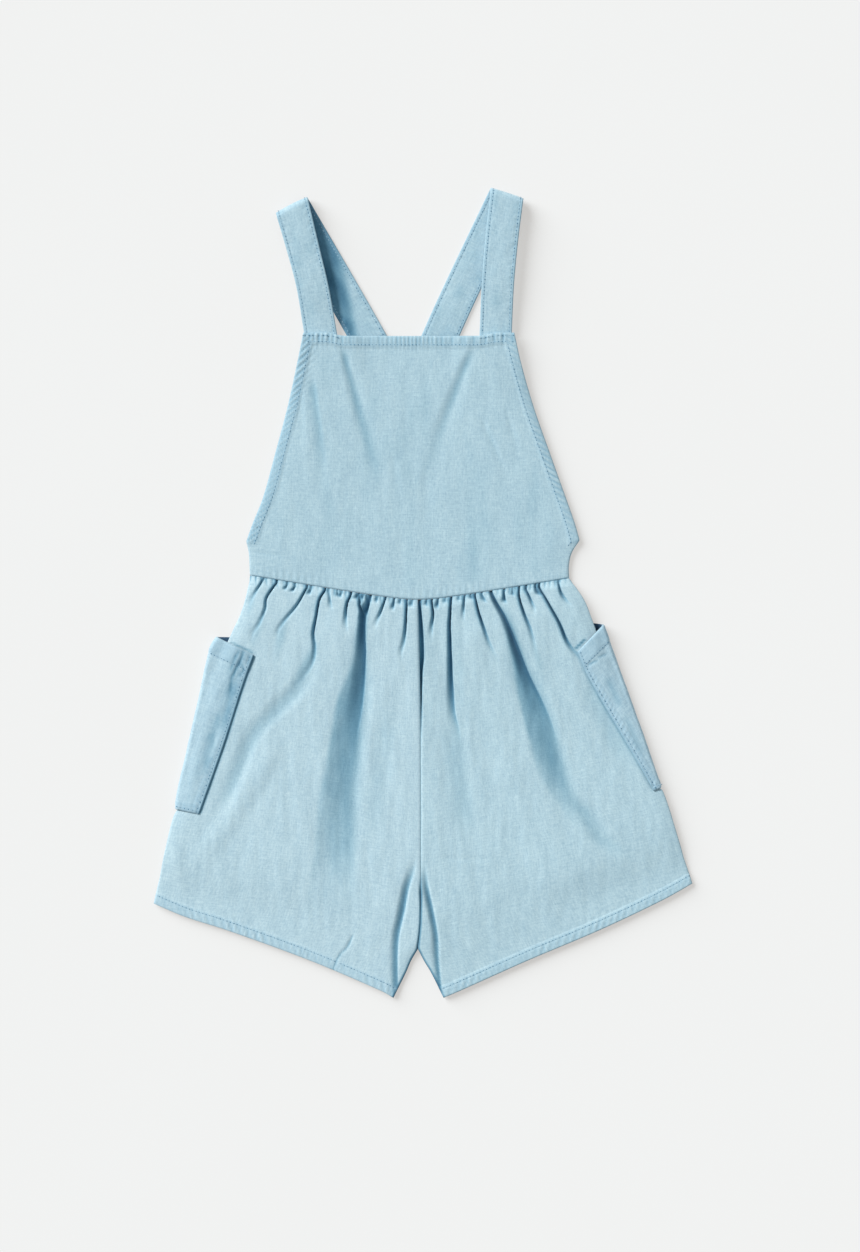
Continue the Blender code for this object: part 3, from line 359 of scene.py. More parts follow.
# Broad folds below the gathers, and the valleys beside the crotch
LEFT_FOLDS = (
    # path of x, y; share of the height, below 0 for a ridge; spread left and right; lap; runs into the hem
    (((-46.0, -24.0), (-48.0, -80.0), (-51.2, -104.0), (-54.0, -134.0), (-57.0, -164.0), (-60.0, -204.0),
      (-64.0, -250.0)), 0.34, 13.5, 7.0, 0.0, False),
    (((-87.0, -40.0), (-90.0, -60.0), (-99.2, -76.8), (-112.0, -90.0), (-132.8, -112.4), (-150.0, -150.0),
      (-166.0, -200.0)), 0.30, 6.0, 5.0, 0.0, False),
    (((-24.0, -70.0), (-28.0, -110.0), (-36.0, -160.0), (-44.0, -220.0)), 0.16, 9.0, 9.0, 0.0, False),
    (((-6.0, -206.0), (-7.2, -220.0), (-12.0, -236.0), (-15.2, -253.6), (-19.6, -272.8), (-20.8, -288.8),
      (-20.4, -330.0)), 0.84, 3.3, 1.0, 0.6, True),
    (((-55.0, -270.0), (-60.0, -282.4), (-66.4, -289.6), (-71.2, -299.2)), 0.55, 1.0, 0.6, 0.2, True),
    (((-110.4, -104.0), (-134.4, -149.6), (-158.4, -186.4), (-186.0, -232.0)), -0.30, 7.0, 8.0, 0.0, False),
    (((-2.6, -228.0), (-1.0, -245.6), (-0.2, -258.4), (-1.0, -269.6), (-4.0, -284.0)),
     0.80, 1.0, 0.8, 0.0, True),
)
RIGHT_FOLDS = (
    # path of x, y; share of the height; spread left, spread right; lap; runs into the hem
    (((70.0, -28.0), (87.0, -70.0), (95.0, -90.0), (101.0, -108.0), (108.0, -134.0), (117.0, -160.0),
      (138.0, -192.0)), 0.38, 10.0, 7.0, 0.0, False),
    (((120.0, -158.0), (130.4, -174.4), (138.4, -188.5), (143.0, -196.0), (158.0, -208.0), (172.6, -216.6)),
     0.26, 5.0, 7.0, 0.0, False),
    (((24.0, -90.0), (27.0, -120.0), (32.0, -160.0), (40.0, -210.0)), 0.22, 9.0, 8.0, 0.0, False),
    (((131.0, -58.0), (142.0, -86.0), (156.0, -118.0), (170.0, -150.0)), 0.22, 8.0, 8.0, 0.0, False),
    (((0.8, -210.0), (4.0, -234.4), (8.0, -253.6), (11.4, -272.8), (12.4, -295.2), (15.6, -330.0)),
     0.84, 2.6, 1.0, 0.4, True),
)
CREASE_ACROSS_RIGHT_LEG = ((4.0, -211.4), (60.0, -213.0), 0.30, 1.6)

# Creases pressed into the bib: where each starts and ends, its depth, its spread on each side and
# how much painted shade it adds
BIB_CREASES = (
    # start x, start y, middle x, end x, end y, depth, spread left, spread right, shade
    (-64.8, 198.0, -46.0, -26.0, 56.0, 1.20, 6.0, 11.0, 0.38),
    (39.6, 196.0, 14.0, 3.0, 56.0, 1.10, 6.8, 11.0, 0.34),
    (-88.0, 172.0, -81.0, -74.0, 56.0, 0.85, 10.0, 3.4, 0.36),
    (-98.0, 168.0, -96.0, -92.0, 96.0, 0.40, 6.0, 4.0, 0.05),
    (47.0, 140.0, 62.0, 76.0, 72.0, 0.60, 5.0, 2.4, 0.08),
    (66.0, 150.0, 74.0, 84.0, 90.0, 0.40, 4.0, 3.0, 0.05),
    (-24.0, 110.0, -19.0, -16.0, 44.0, 0.40, 8.0, 6.0, 0.0),
    (2.0, 96.0, 4.0, 8.0, 30.0, 0.35, 7.0, 8.0, 0.0),
    (-134.4, 33.6, -121.0, -106.0, 28.0, 0.35, 2.0, 2.0, 0.05),
)

# Pockets: each wraps round the side fold of its leg. The fold and the front edge, top to bottom
LEFT_POCKET_FOLD = (
    (-164.8, -34.8), (-170.4, -44.0), (-180.8, -89.6), (-189.0, -125.6), (-196.8, -160.0), (-198.0, -172.4),
)
LEFT_POCKET_FRONT = ((-134.8, -49.6), (-143.2, -72.8), (-157.6, -117.6), (-178.6, -176.4))
RIGHT_POCKET_FOLD = (
    (144.2, -24.6), (150.6, -42.0), (163.4, -77.6), (180.8, -125.6), (190.6, -155.2),
)
RIGHT_POCKET_FRONT = ((123.0, -46.8), (131.4, -66.4), (168.0, -129.6), (184.0, -157.8))
POCKET_WIDTH = 95.0
POCKET_TURN = 2.3
POCKET_MOUTH_GAPE = 1.4
POCKET_GAPE_LENGTH = 40.0
POCKET_HEM = 14.0
POCKET_REST_RADIUS = 2.5
POCKET_REST_GAP = 0.2
POCKET_BELOW_FOLD = 18.0
POCKET_LIFT_WIDTH = 83.0
POCKET_LIFT_MARGIN = 20.0
POCKET_LIFT_RAMP = 30.0
POCKET_ROWS = 96
POCKET_FRONT_COLUMNS = 26
POCKET_TURN_STEPS = 12
POCKET_BACK_COLUMNS = 34
LEFT_POCKET_CREASES = (
    # start x, start y, end x, end y, depth, spread
    (-142.8, -44.6, -147.0, -59.0, 0.72, 0.9),
    (-145.8, -53.5, -152.6, -68.0, 0.80, 0.9),
    (-152.4, -65.0, -153.9, -80.0, 0.40, 1.1),
    (-146.0, -45.4, -150.0, -52.0, 0.55, 1.0),
    (-148.8, -49.0, -153.4, -62.0, 0.50, 1.0),
    (-137.2, -48.0, -140.2, -57.0, 0.60, 0.7),
    (-144.4, -56.0, -142.4, -63.0, 0.45, 0.8),
    (-142.2, -61.0, -147.6, -67.0, 0.45, 0.8),
    (-146.0, -46.0, -153.0, -84.0, 0.24, 6.0),
    (-150.0, -70.0, -160.0, -112.0, 0.45, 4.5),
    (-163.0, -96.0, -176.0, -142.0, 0.35, 4.0),
)
RIGHT_POCKET_CREASES = (
    # start x, start y, end x, end y, depth, spread
    (131.2, -57.4, 139.6, -53.2, 0.7, 0.9),
    (138.6, -51.8, 147.0, -48.2, 0.55, 0.9),
    (146.0, -66.0, 158.0, -92.0, 0.4, 3.4),
    (160.0, -96.0, 176.0, -132.0, 0.35, 3.0),
)

# Meshes of the smaller pieces, and flat sizes that the drape doesn't give
BIB_END_STITCH_INSET = 2.2
BIB_COLUMNS = 170
BIB_ROWS = 150
BACK_LEG_ROWS = 90
BACK_WAIST_FLAT_WIDTH = 264.0
BACK_WAIST_FLAT_LENGTH = 45.0
LEG_FLAT_WIDTH = 215.0
FRONT_POCKET_STITCH_REACH = 0.95
# How dark the painted shadow on the pockets' inner side is
POCKET_INSIDE_SHADOW = 0.95

# Painted light and shade: how much lighter or darker each piece's copy of the cloth is, red, green, blue
BIB_TONE = (0.97, 0.985, 0.99)
STRAP_TONE = (0.96, 0.975, 0.985)
LEFT_LEG_TONE = (1.11, 1.075, 1.06)
RIGHT_LEG_TONE = (1.02, 1.015, 1.005)
POCKET_TONE = (0.94, 0.96, 0.985)
BACK_TONE = (0.90, 0.93, 0.96)

# How steeply the painted shade darkens the colour
PAINTED_SHADE_CURVE = 1.6

# Where the daylight travels over the table
SUN_WAY = (0.77, -0.64)
DAYLIGHT_COLOUR = (1.0, 0.985, 0.96)
FILL_COLOUR = (0.80, 0.95, 1.0, 1.0)
TABLE_TINT = (0.93, 1.0, 1.06)
TABLE_GLOW_TINT = (1.0, 0.93, 0.87)
TABLE_MOTTLE = 0.01

# Camera, straight over the middle of the photograph's frame
CAMERA_PLACE = (5.6, -26.4, 2365.0)
CAMERA_LENS = 85.0
FILM_HEIGHT = 36.0
FLOOR_SIZE = 12000.0


def mix(first, second, share):
    """The value that lies the given share of the way from first to second."""
    return first + (second - first) * share


def ease(low, high, value):
    """0 below low, 1 above high and a smooth rise between them."""
    share = np.clip((value - low) / (high - low), 0.0, 1.0)
    return share * share * (3.0 - 2.0 * share)


def between(value, rises, falls):
    """1 between a soft rise and a soft fall, each from its first value to its second, and 0 beyond them."""
    return ease(*rises, value) * (1.0 - ease(*falls, value))


def ridge(value, middle, width):
    """1 along the middle of a soft line, fading to 0 on both sides."""
    return np.exp(-((value - middle) / width) ** 2)


def shades_together(*shades):
    """One painted shade from several that lie over each other."""
    lit = 1.0
    for shade in shades:
        lit = lit * (1.0 - shade)
    return 1.0 - lit


def round_edge(distance, radius):
    """0 at a folded edge and 1 from a radius away, rising as a quarter circle."""
    share = np.clip(distance / radius, 0.0, 1.0)
    return np.sqrt(1.0 - (1.0 - share) ** 2)


def smooth_through(keys, values, key):
    """Values at keys on a smooth curve through a table whose keys rise."""
    keys = np.asarray(keys, float)
    values = np.asarray(values, float)
    key = np.clip(np.asarray(key, float), keys[0], keys[-1])
    place = np.clip(np.searchsorted(keys, key) - 1, 0, len(keys) - 2)
    before = np.maximum(np.arange(len(keys)) - 1, 0)
    after = np.minimum(np.arange(len(keys)) + 1, len(keys) - 1)
    spans = keys[after] - keys[before]
    wide = (slice(None),) + (None,) * (values.ndim - 1)
    slopes = (values[after] - values[before]) / spans[wide]
    span = keys[place + 1] - keys[place]
    share = (key - keys[place]) / span
    tail = (Ellipsis,) + (None,) * (values.ndim - 1)
    share = share[tail]
    span = span[tail]
    square = share * share
    cube = square * share
    return (values[place] * (2.0 * cube - 3.0 * square + 1.0)
            + slopes[place] * span * (cube - 2.0 * square + share)
            + values[place + 1] * (3.0 * square - 2.0 * cube)
            + slopes[place + 1] * span * (cube - square))


class Curve:
    """A smooth curve through points, read by the share of its length."""

    def __init__(self, points):
        self.points = np.array(points, float)
        steps = np.linalg.norm(np.diff(self.points, axis=0), axis=1)
        self.reaches = np.concatenate(([0.0], np.cumsum(steps)))

    def at(self, share):
        """The point at a share of the curve's length."""
        return smooth_through(self.reaches, self.points, np.asarray(share, float) * self.reaches[-1])


class CorneredCurve:
    """Two smooth curves that meet at a corner, at a fixed share of the way."""

    def __init__(self, first, second, corner):
        self.first = Curve(first)
        self.second = Curve(second)
        self.corner = corner

    def at(self, share):
        """The point at a share of the way over both curves."""
        share = np.asarray(share, float)
        upper = self.first.at(np.minimum(share / self.corner, 1.0))
        lower = self.second.at(np.maximum((share - self.corner) / (1.0 - self.corner), 0.0))
        return np.where((share <= self.corner)[..., None], upper, lower)


def table_x(table, y, column):
    """Read an edge's x from a table whose rows run from the highest y to the lowest."""
    keys = [-row[0] for row in table]
    values = [row[column] for row in table]
    return smooth_through(keys, values, -np.asarray(y, float))


def waist_y(x):
    """Height on the page of the waist seam."""
    rise = WAIST_SLOPE * (x - WAIST_MIDDLE_X)
    return WAIST_LOW_Y + np.hypot(rise, WAIST_ROUNDING) - WAIST_ROUNDING


def cloud(x, y, scale_x, scale_y, seed):
    """Smooth random relief between about -1 and 1, with bumps of the given sizes in millimetres."""
    flat = np.stack([np.ravel(x) / scale_x, np.ravel(y) / scale_y], axis=1)
    values = [noise.noise(Vector((place[0], place[1], seed))) for place in flat]
    return np.array(values).reshape(np.shape(x)) * 1.6


def uneven_wave(along, pitch, seed):
    """A wave along an edge whose pitch and height wander, as puckers do."""
    wander = 0.9 * np.sin(along / (pitch * 2.3) + seed) + 0.6 * np.sin(along / (pitch * 5.1) + 2.0 * seed)
    strength = 0.65 + 0.35 * np.sin(along / (pitch * 3.7) + 3.0 * seed)
    return strength * np.sin(2.0 * math.pi * along / pitch + 1.6 * wander)


def beside_path(x, y, path):
    """How far places lie to the right of a path that runs down the page, and the share of the way down."""
    points = np.array(path, float)
    keys = -points[:, 1]
    down = np.clip((-y - keys[0]) / (keys[-1] - keys[0]), -1.0, 2.0)
    centre = smooth_through(keys, points[:, 0], -y)
    ahead = smooth_through(keys, points[:, 0], -y + 1.0)
    lean = 1.0 / np.sqrt(1.0 + (ahead - centre) ** 2)
    return (x - centre) * lean, down


def valley(x, y, path, spread_left, spread_right):
    """A trough beside a path that runs down the page: how deep it is and the share of the way down."""
    offset, down = beside_path(x, y, path)
    soft = 1.0 - ease(0.0, 2.0, -offset / spread_left)
    sharp = ridge(offset, 0.0, spread_right)
    return np.where(offset < 0.0, soft, sharp), down


def valleys_left(x, y, rows):
    """What the gathers leave of a leg's height, how far the cloth laps over their slits, and their painted
    shade.
    """
    left = np.ones_like(x)
    lap = np.zeros_like(x)
    lit = np.ones_like(x)
    for path, share, fades_from, spread_left, spread_right in rows:
        offset, down = beside_path(x - GATHER_SHIFT, y, path)
        width = spread_left * (GATHER_NARROW + GATHER_WIDENING * np.clip(down, 0.0, 1.0))
        soft = 1.0 - ease(0.3 * width, 2.0 * width, -offset)
        soft_shade = 1.0 - ease(0.3 * width, VALLEY_SHADE_REACH * width, -offset)
        rise = ease(-0.1, LAP_EDGE, offset)
        depth = share * (1.0 - ease(fades_from, 1.0, down))
        trough = depth * np.where(offset < 0.0, soft, 1.0 - rise)
        # Painted shade: tint over the valley's soft side, slit as a dark core along the slit, rim over the
        # lit rim of the lap
        tint = depth * np.where(offset < 0.0, soft_shade, 1.0 - rise)
        covered = depth * spread_right
        slit_width = SLIT_WIDTH * (1.0 + SLIT_WIDENING * np.clip(down, 0.0, 1.0))
        slit = depth * ridge(np.minimum(offset + covered, 0.0), 0.0, slit_width) * (1.0 - rise)
        left = left * (1.0 - trough)
        rim = depth * ridge(offset, LAP_EDGE, RIM_WIDTH)
        lit = lit * (1.0 - VALLEY_SHADE * tint) * (1.0 - SLIT_SHADE * slit) * (1.0 - RIM_SHADE * rim)
        lap = lap + covered * rise * (1.0 - ease(0.0, LAP_REACH, offset)) * ease(-0.1, 0.04, down)
    return left, lap, 1.0 - lit


def hollows_shade(x, y):
    """Painted shade in the darkest hollows."""
    lit = np.ones_like(x)
    for middle_x, middle_y, end_x, end_y, half_width, half_length, strength in HOLLOWS:
        way = unit(np.array((end_x - middle_x, end_y - middle_y)))
        along = (x - middle_x) * way[0] + (y - middle_y) * way[1]
        aside = (x - middle_x) * way[1] - (y - middle_y) * way[0]
        lit = lit * (1.0 - strength * np.exp(-(along / half_length) ** 2 - (aside / half_width) ** 2))
    return 1.0 - lit


def facet_shade(x, y, side):
    """Painted shade on the shaded side of a leg's deepest fold."""
    rows = np.array(FACETS[side], float)
    keys = -rows[:, 1]
    offset = x - smooth_through(keys, rows[:, 0], -y)
    half_width = np.interp(-y, keys, rows[:, 2])
    strength = np.interp(-y, keys, rows[:, 3]) * (1.0 + 0.2 * cloud(x, y, 7.0, 16.0, 4.6))
    left = ease(-FACET_SOFT_LEFT, FACET_SOFT_LEFT, offset + half_width)
    right = 1.0 - ease(-FACET_SOFT_RIGHT, FACET_SOFT_RIGHT, offset - half_width)
    return strength * left * right


def folds_left(x, y, rows):
    """What the broad folds leave of a leg's height, and how far the cloth laps over them."""
    left = np.ones_like(x)
    lap = np.zeros_like(x)
    for path, share, spread_left, spread_right, lap_width, runs_into_hem in rows:
        offset, down = beside_path(x, y, path)
        soft = 1.0 - ease(0.3 * spread_left, 2.0 * spread_left, -offset)
        rise = ease(-0.1, 1.6 * spread_right, offset)
        depth = share * ease(0.0, 0.3, down)
        if not runs_into_hem:
            depth = depth * (1.0 - ease(0.65, 1.0, down))
        left = left * (1.0 - depth * np.where(offset < 0.0, soft, 1.0 - rise))
        lap = lap + depth * lap_width * rise * (1.0 - ease(0.0, LAP_REACH, offset))
    return left, lap


def pocket_back_lift(x, y, fold, front):
    """How far the back panel is raised over the pocket back under it."""
    top = np.array(fold[0])
    along = np.array(fold[-1]) - top
    length = np.linalg.norm(along)
    along = along / length
    inward = np.array((-along[1], along[0]))
    if inward @ (np.array(front[0]) - top) < 0.0:
        inward = -inward
    down = (x - top[0]) * along[0] + (y - top[1]) * along[1]
    across = (x - top[0]) * inward[0] + (y - top[1]) * inward[1]
    reach = POCKET_LIFT_MARGIN + POCKET_LIFT_RAMP
    above = 1.0 - ease(POCKET_LIFT_MARGIN, reach, -down)
    below = 1.0 - ease(POCKET_LIFT_MARGIN, reach, down - length - POCKET_BELOW_FOLD)
    beside = 1.0 - ease(POCKET_LIFT_MARGIN, reach, across - POCKET_LIFT_WIDTH)
    return (CLOTH + LAYER_GAP) * above * below * beside


class Leg:
    """One leg of the shorts as a patch between its four edges, u to the right and v down."""

    def __init__(self, side):
        gap = SEAM_GAP / 2.0
        self.side = side
        self.outer_is_left = side == "left"
        if self.outer_is_left:
            seam = [(x - gap, y) for x, y in CENTRE_SEAM]
            inseam = [(x - gap, y) for x, y in LEFT_INSEAM]
            self.left = Curve(LEFT_OUTER)
            self.right = CorneredCurve(seam, inseam, CROTCH_SHARE)
            self.hem = Curve(LEFT_HEM)
            self.fold, self.front = LEFT_POCKET_FOLD, LEFT_POCKET_FRONT
            self.gathers, self.folds = LEFT_GATHERS, LEFT_FOLDS
            self.seed = 3.7
        else:
            seam = [(x + gap, y) for x, y in CENTRE_SEAM]
            inseam = [(x + gap, y) for x, y in RIGHT_INSEAM]
            self.left = CorneredCurve(seam, inseam, CROTCH_SHARE)
            self.right = Curve(RIGHT_OUTER)
            self.hem = Curve(RIGHT_HEM)
            self.fold, self.front = RIGHT_POCKET_FOLD, RIGHT_POCKET_FRONT
            self.gathers, self.folds = RIGHT_GATHERS, RIGHT_FOLDS
            self.seed = 9.1

    def length(self, u):
        """Length of the cloth from the waist seam to the hem."""
        if self.outer_is_left:
            return mix(LEG_LENGTH_OUTER, LEG_LENGTH_INNER, u)
        return mix(LEG_LENGTH_INNER, LEG_LENGTH_OUTER, u)

    def place(self, u, v, inset=0.0):
        """Blend the four edges into x and y for matching arrays of shares."""
        left = self.left.at(v)
        right = self.right.at(v)
        corner_left = self.left.at(0.0)
        corner_right = self.right.at(0.0)
        x = mix(corner_left[0], corner_right[0], u)
        top = np.stack([x, waist_y(x) - SEAM_GAP / 2.0], axis=-1)
        across = u[..., None]
        down = v[..., None]
        corners_top = mix(corner_left, corner_right, across)
        corners_bottom = mix(self.left.at(1.0), self.right.at(1.0), across)
        corners = mix(corners_top, corners_bottom, down)
        blended = mix(top, self.hem.at(u), down) + mix(left, right, across) - corners
        x = blended[..., 0] + inset * (1.0 - 2.0 * u)
        y = blended[..., 1] + inset * ease(0.9, 1.0, v)
        return x, y

    def width(self, v):
        """Width of the leg between its side edges."""
        return np.linalg.norm(self.right.at(v) - self.left.at(v), axis=-1)

    def puff(self, u, v):
        """Height of the front panel over its base before gathers and folds."""
        from_waist = v * self.length(u)
        from_hem = (1.0 - v) * self.length(u)
        height = mix(PUFF_AT_SEAM, PUFF_BELOW_SEAM, ease(0.0, PUFF_FULL_BY, from_waist))
        height = mix(height, PUFF_IN_THE_MIDDLE, ease(*PUFF_EASES, from_waist))
        height = mix(PUFF_AT_HEM, height, ease(0.0, PUFF_AT_HEM_REACH, from_hem))
        width = self.width(v)
        from_outer = (u if self.outer_is_left else 1.0 - u) * width
        crotch = ease(*CROTCH_ROUNDING_SHARES, v)
        inner_radius = mix(SEAM_ROUNDING, SIDE_ROUNDING, crotch)
        inner_low = mix(SEAM_HEIGHT_SHARE, 0.0, crotch)
        inner_edge = mix(inner_low, 1.0, round_edge(width - from_outer, inner_radius))
        return height * round_edge(from_outer, SIDE_ROUNDING) * inner_edge

    def surface(self, u, v):
        """x, y, underside, top, painted shade, and the hem band's tone with painted shade between its
        puckers, of the front panel.
        """
        x, y = self.place(u, v)
        base = pocket_back_lift(x, y, self.fold, self.front) + CLOTH + LAYER_GAP
        gathers, lap, gather_shade = valleys_left(x, y, self.gathers)
        folds, fold_lap = folds_left(x, y, self.folds)
        lap = lap + fold_lap
        left_over = gathers * folds
        top = base + CLOTH + self.puff(u, v) * left_over
        from_waist = v * self.length(u)
        from_hem = (1.0 - v) * self.length(u)
        width = self.width(v)
        edge = np.minimum(u, 1.0 - u) * width
        from_outer = (u if self.outer_is_left else 1.0 - u) * width
        from_inner = (1.0 - u if self.outer_is_left else u) * width
        calm_sides = ease(0.0, 14.0, edge)
        calm = calm_sides * ease(4.0, 30.0, from_hem) * ease(2.0, 26.0, from_waist)
        top = top + calm * (0.34 * cloud(x + y * 0.16, y, 13.0, 46.0, self.seed)
                            + 0.16 * cloud(x, y, 5.0, 17.0, self.seed + 4.0))
        relief, band_tone_and_shade = self.hem_relief(u, from_hem)
        top = top + relief
        at_seam = 1.0 - ease(0.0, 1.6, from_waist)
        ruffle = uneven_wave(x, RUFFLE_PITCH, self.seed) * (1.0 - ease(1.0, 9.0, from_waist))
        top = top - SEAM_DIP * at_seam + RUFFLE_HEIGHT * ruffle * calm_sides
        crotch_slit = ease(*CROTCH_SLIT_SHARES, v) * (1.0 - ease(0.6, CROTCH_SLIT_WIDTH, from_inner))
        # Painted shade in the gathers, the folds, the hollows and the shaded facet, along the waist seam and
        # between its puckers, in the crotch's slit, beside the pocket and at its mouth
        shade = shades_together(
            gather_shade,
            FOLD_SHADE_SHARE * (1.0 - folds),
            hollows_shade(x, y),
            facet_shade(x, y, self.side),
            SEAM_SHADE * at_seam,
            np.clip(-RUFFLE_SHADE * ruffle, 0.0, 1.0),
            CROTCH_SLIT_SHADE * crotch_slit,
            self.pocket_shade(x, y),
        )
        if not self.outer_is_left:
            top = top - crease_across(x, y)
        low = np.maximum(top - CLOTH, base - THINNEST_WALL)
        x = x - lap * ease(0.0, 6.0, edge)
        inward = 1.0 if self.outer_is_left else -1.0
        rounded = ease(0.0, 10.0, from_waist) * ease(2.0, 40.0, from_hem)
        x = x + inward * rounded * (side_profile(from_outer) - from_outer)
        return x, y, low, np.maximum(top, low + THINNEST_WALL), shade, band_tone_and_shade

    def pocket_shade(self, x, y):
        """Painted shadow along its pocket's front edge and at the pocket's mouth."""
        beside, share = beside_path(x, y, self.front)
        along_pocket = ridge(beside, 0.0, POCKET_LINE_WIDTH) * (np.abs(share - 0.5) <= 0.5)
        start, end, half_width, strength = MOUTH_LINES[self.side]
        mouth = strength * crease(np.stack([x, y], axis=2), start, end, half_width)
        return shades_together(POCKET_LINE_SHADE[self.side] * along_pocket, mouth)

    def hem_relief(self, u, from_hem):
        """The turned hem: raised, sunk along its stitches and puckered between them and the edge; its band is
        bluer, with painted shade between the puckers.
        """
        along = u * self.hem.reaches[-1]
        band = 1.0 - ease(HEM_WIDTH, HEM_WIDTH + 1.0, from_hem)
        slant = along + 0.7 * from_hem * (1.0 if self.outer_is_left else -1.0)
        pucker = uneven_wave(slant, HEM_PUCKER_PITCH, self.seed)
        pucker = pucker + 0.6 * uneven_wave(along, HEM_FINE_PITCH, self.seed + 1.0)
        pucker = pucker * (0.35 + 0.65 * np.abs(cloud(along, from_hem, 16.0, 40.0, self.seed + 6.0) + 0.3))
        within = band * between(from_hem, (0.0, 1.8), (4.6, HEM_WIDTH))
        beyond = between(from_hem, (HEM_WIDTH - 1.0, HEM_WIDTH + 1.0), (9.0, 18.0))
        groove = ridge(from_hem, STITCH_INSET, GROOVE_WIDTH)
        rounded = 1.0 - round_edge(from_hem, 1.0)
        relief = (HEM_RISE * band + PUCKER_HEIGHT * pucker * within + PUCKER_BEYOND * pucker * beyond
                  - HEM_GROOVE * groove - HEM_EDGE_DROP * rounded)
        # The band's bluer tone, with painted shade where the puckers dip
        return relief, band * np.clip(HEM_DYE - 0.6 * pucker, 0.0, 1.0)


def side_profile(from_outer):
    """How far in from the outline the cloth lies: the side fold bulges out over the seam under it."""
    tucked = SIDE_TUCK * (1.0 - ease(0.0, 1.2, from_outer))
    return from_outer * ease(0.5, 5.0, from_outer) + tucked + 0.2


def crease_across(x, y):
    """A faint pressed line across the right leg, over the crotch."""
    start, end, depth, spread = CREASE_ACROSS_RIGHT_LEG
    share = (x - start[0]) / (end[0] - start[0])
    line_y = mix(start[1], end[1], share)
    return depth * between(share, (0.0, 0.3), (0.7, 1.0)) * ridge(y, line_y, spread)


def leg_rows(leg, columns):
    """v for each row and column of a front panel, with fine rows at the waist seam and at the hem."""
    u = np.linspace(0.0, 1.0, columns + 1)
    length = leg.length(u)
    near_waist = np.arange(0.0, WAIST_ROWS_DEPTH, WAIST_ROW_STEP)[:, None] / length
    near_hem = 1.0 - np.arange(HEM_ROWS_DEPTH, -0.001, -HEM_ROW_STEP)[:, None] / length
    share = np.linspace(0.0, 1.0, LEG_MIDDLE_ROWS, endpoint=False)[:, None]
    middle = mix(WAIST_ROWS_DEPTH / length, 1.0 - HEM_ROWS_DEPTH / length, share)
    v = np.concatenate([near_waist, middle, near_hem])
    return np.broadcast_to(u, v.shape), v


def bib_top_y(x):
    """The bib's top edge, which sags a little between the straps."""
    reach = np.abs(x - BIB_TOP_MIDDLE_X) / BIB_TOP_SAG_HALF_WIDTH
    return BIB_TOP_Y - BIB_TOP_SAG * (1.0 - ease(0.9, 1.2, reach))


def bib_side_x(y, column):
    """The bib's side at a height on the page: column 1 is its left side and 2 its right."""
    corner_y = ARMHOLE_EDGES[-1][0]
    return np.where(y >= corner_y, table_x(ARMHOLE_EDGES, y, column), table_x(SIDE_SEAMS, y, column))


def bib_height(x, y, side_distance):
    """Underside of the bib over the floor: high on the straps, low along its sides."""
    near_top = ease(BIB_ON_STRAPS_FROM_Y, BIB_ON_STRAPS_FULLY_Y, y)
    middle = mix(BIB_UNDERSIDE_AT_WAIST, BIB_UNDERSIDE_AT_TOP, ease(0.0, BIB_RISES_TO_Y, y))
    to_strap = np.minimum(np.abs(x - STRAP_PLACES_UNDER_BIB[0]), np.abs(x - STRAP_PLACES_UNDER_BIB[1]))
    on_strap = near_top * (1.0 - ease(BIB_FULL_LIFT_REACH, BIB_NO_LIFT_REACH, to_strap))
    inside = mix(middle, STRAP_FRONT_END_HEIGHT + STRAP_CLOTH + LAYER_GAP, on_strap)
    side = mix(CLOTH + LAYER_GAP, inside, near_top)
    return mix(side, inside, round_edge(side_distance + BIB_SIDE_LIFT, BIB_SIDE_ROUNDING + BIB_SIDE_LIFT))


def bib_creases(x, y):
    """How far the pressed creases lower the bib, and the painted shade in them."""
    depth = np.zeros_like(x)
    shade = np.zeros_like(x)
    for start_x, start_y, middle_x, end_x, end_y, deepest, spread_left, spread_right, colour in BIB_CREASES:
        path = ((start_x, start_y), (middle_x, (start_y + end_y) / 2.0), (end_x, end_y))
        narrow = 0.35 + 0.65 * np.clip((start_y - y) / (start_y - end_y), 0.0, 1.0)
        trough, down = valley(x, y, path, spread_left * narrow, spread_right * narrow)
        strength = between(down, (-0.03, 0.10), (0.25, 1.0))
        depth = depth + deepest * trough * strength
        shade = shade + colour * valley(x, y, path, spread_left * narrow, 1.5 + 4.0 * narrow)[0] * strength
    return depth, shade


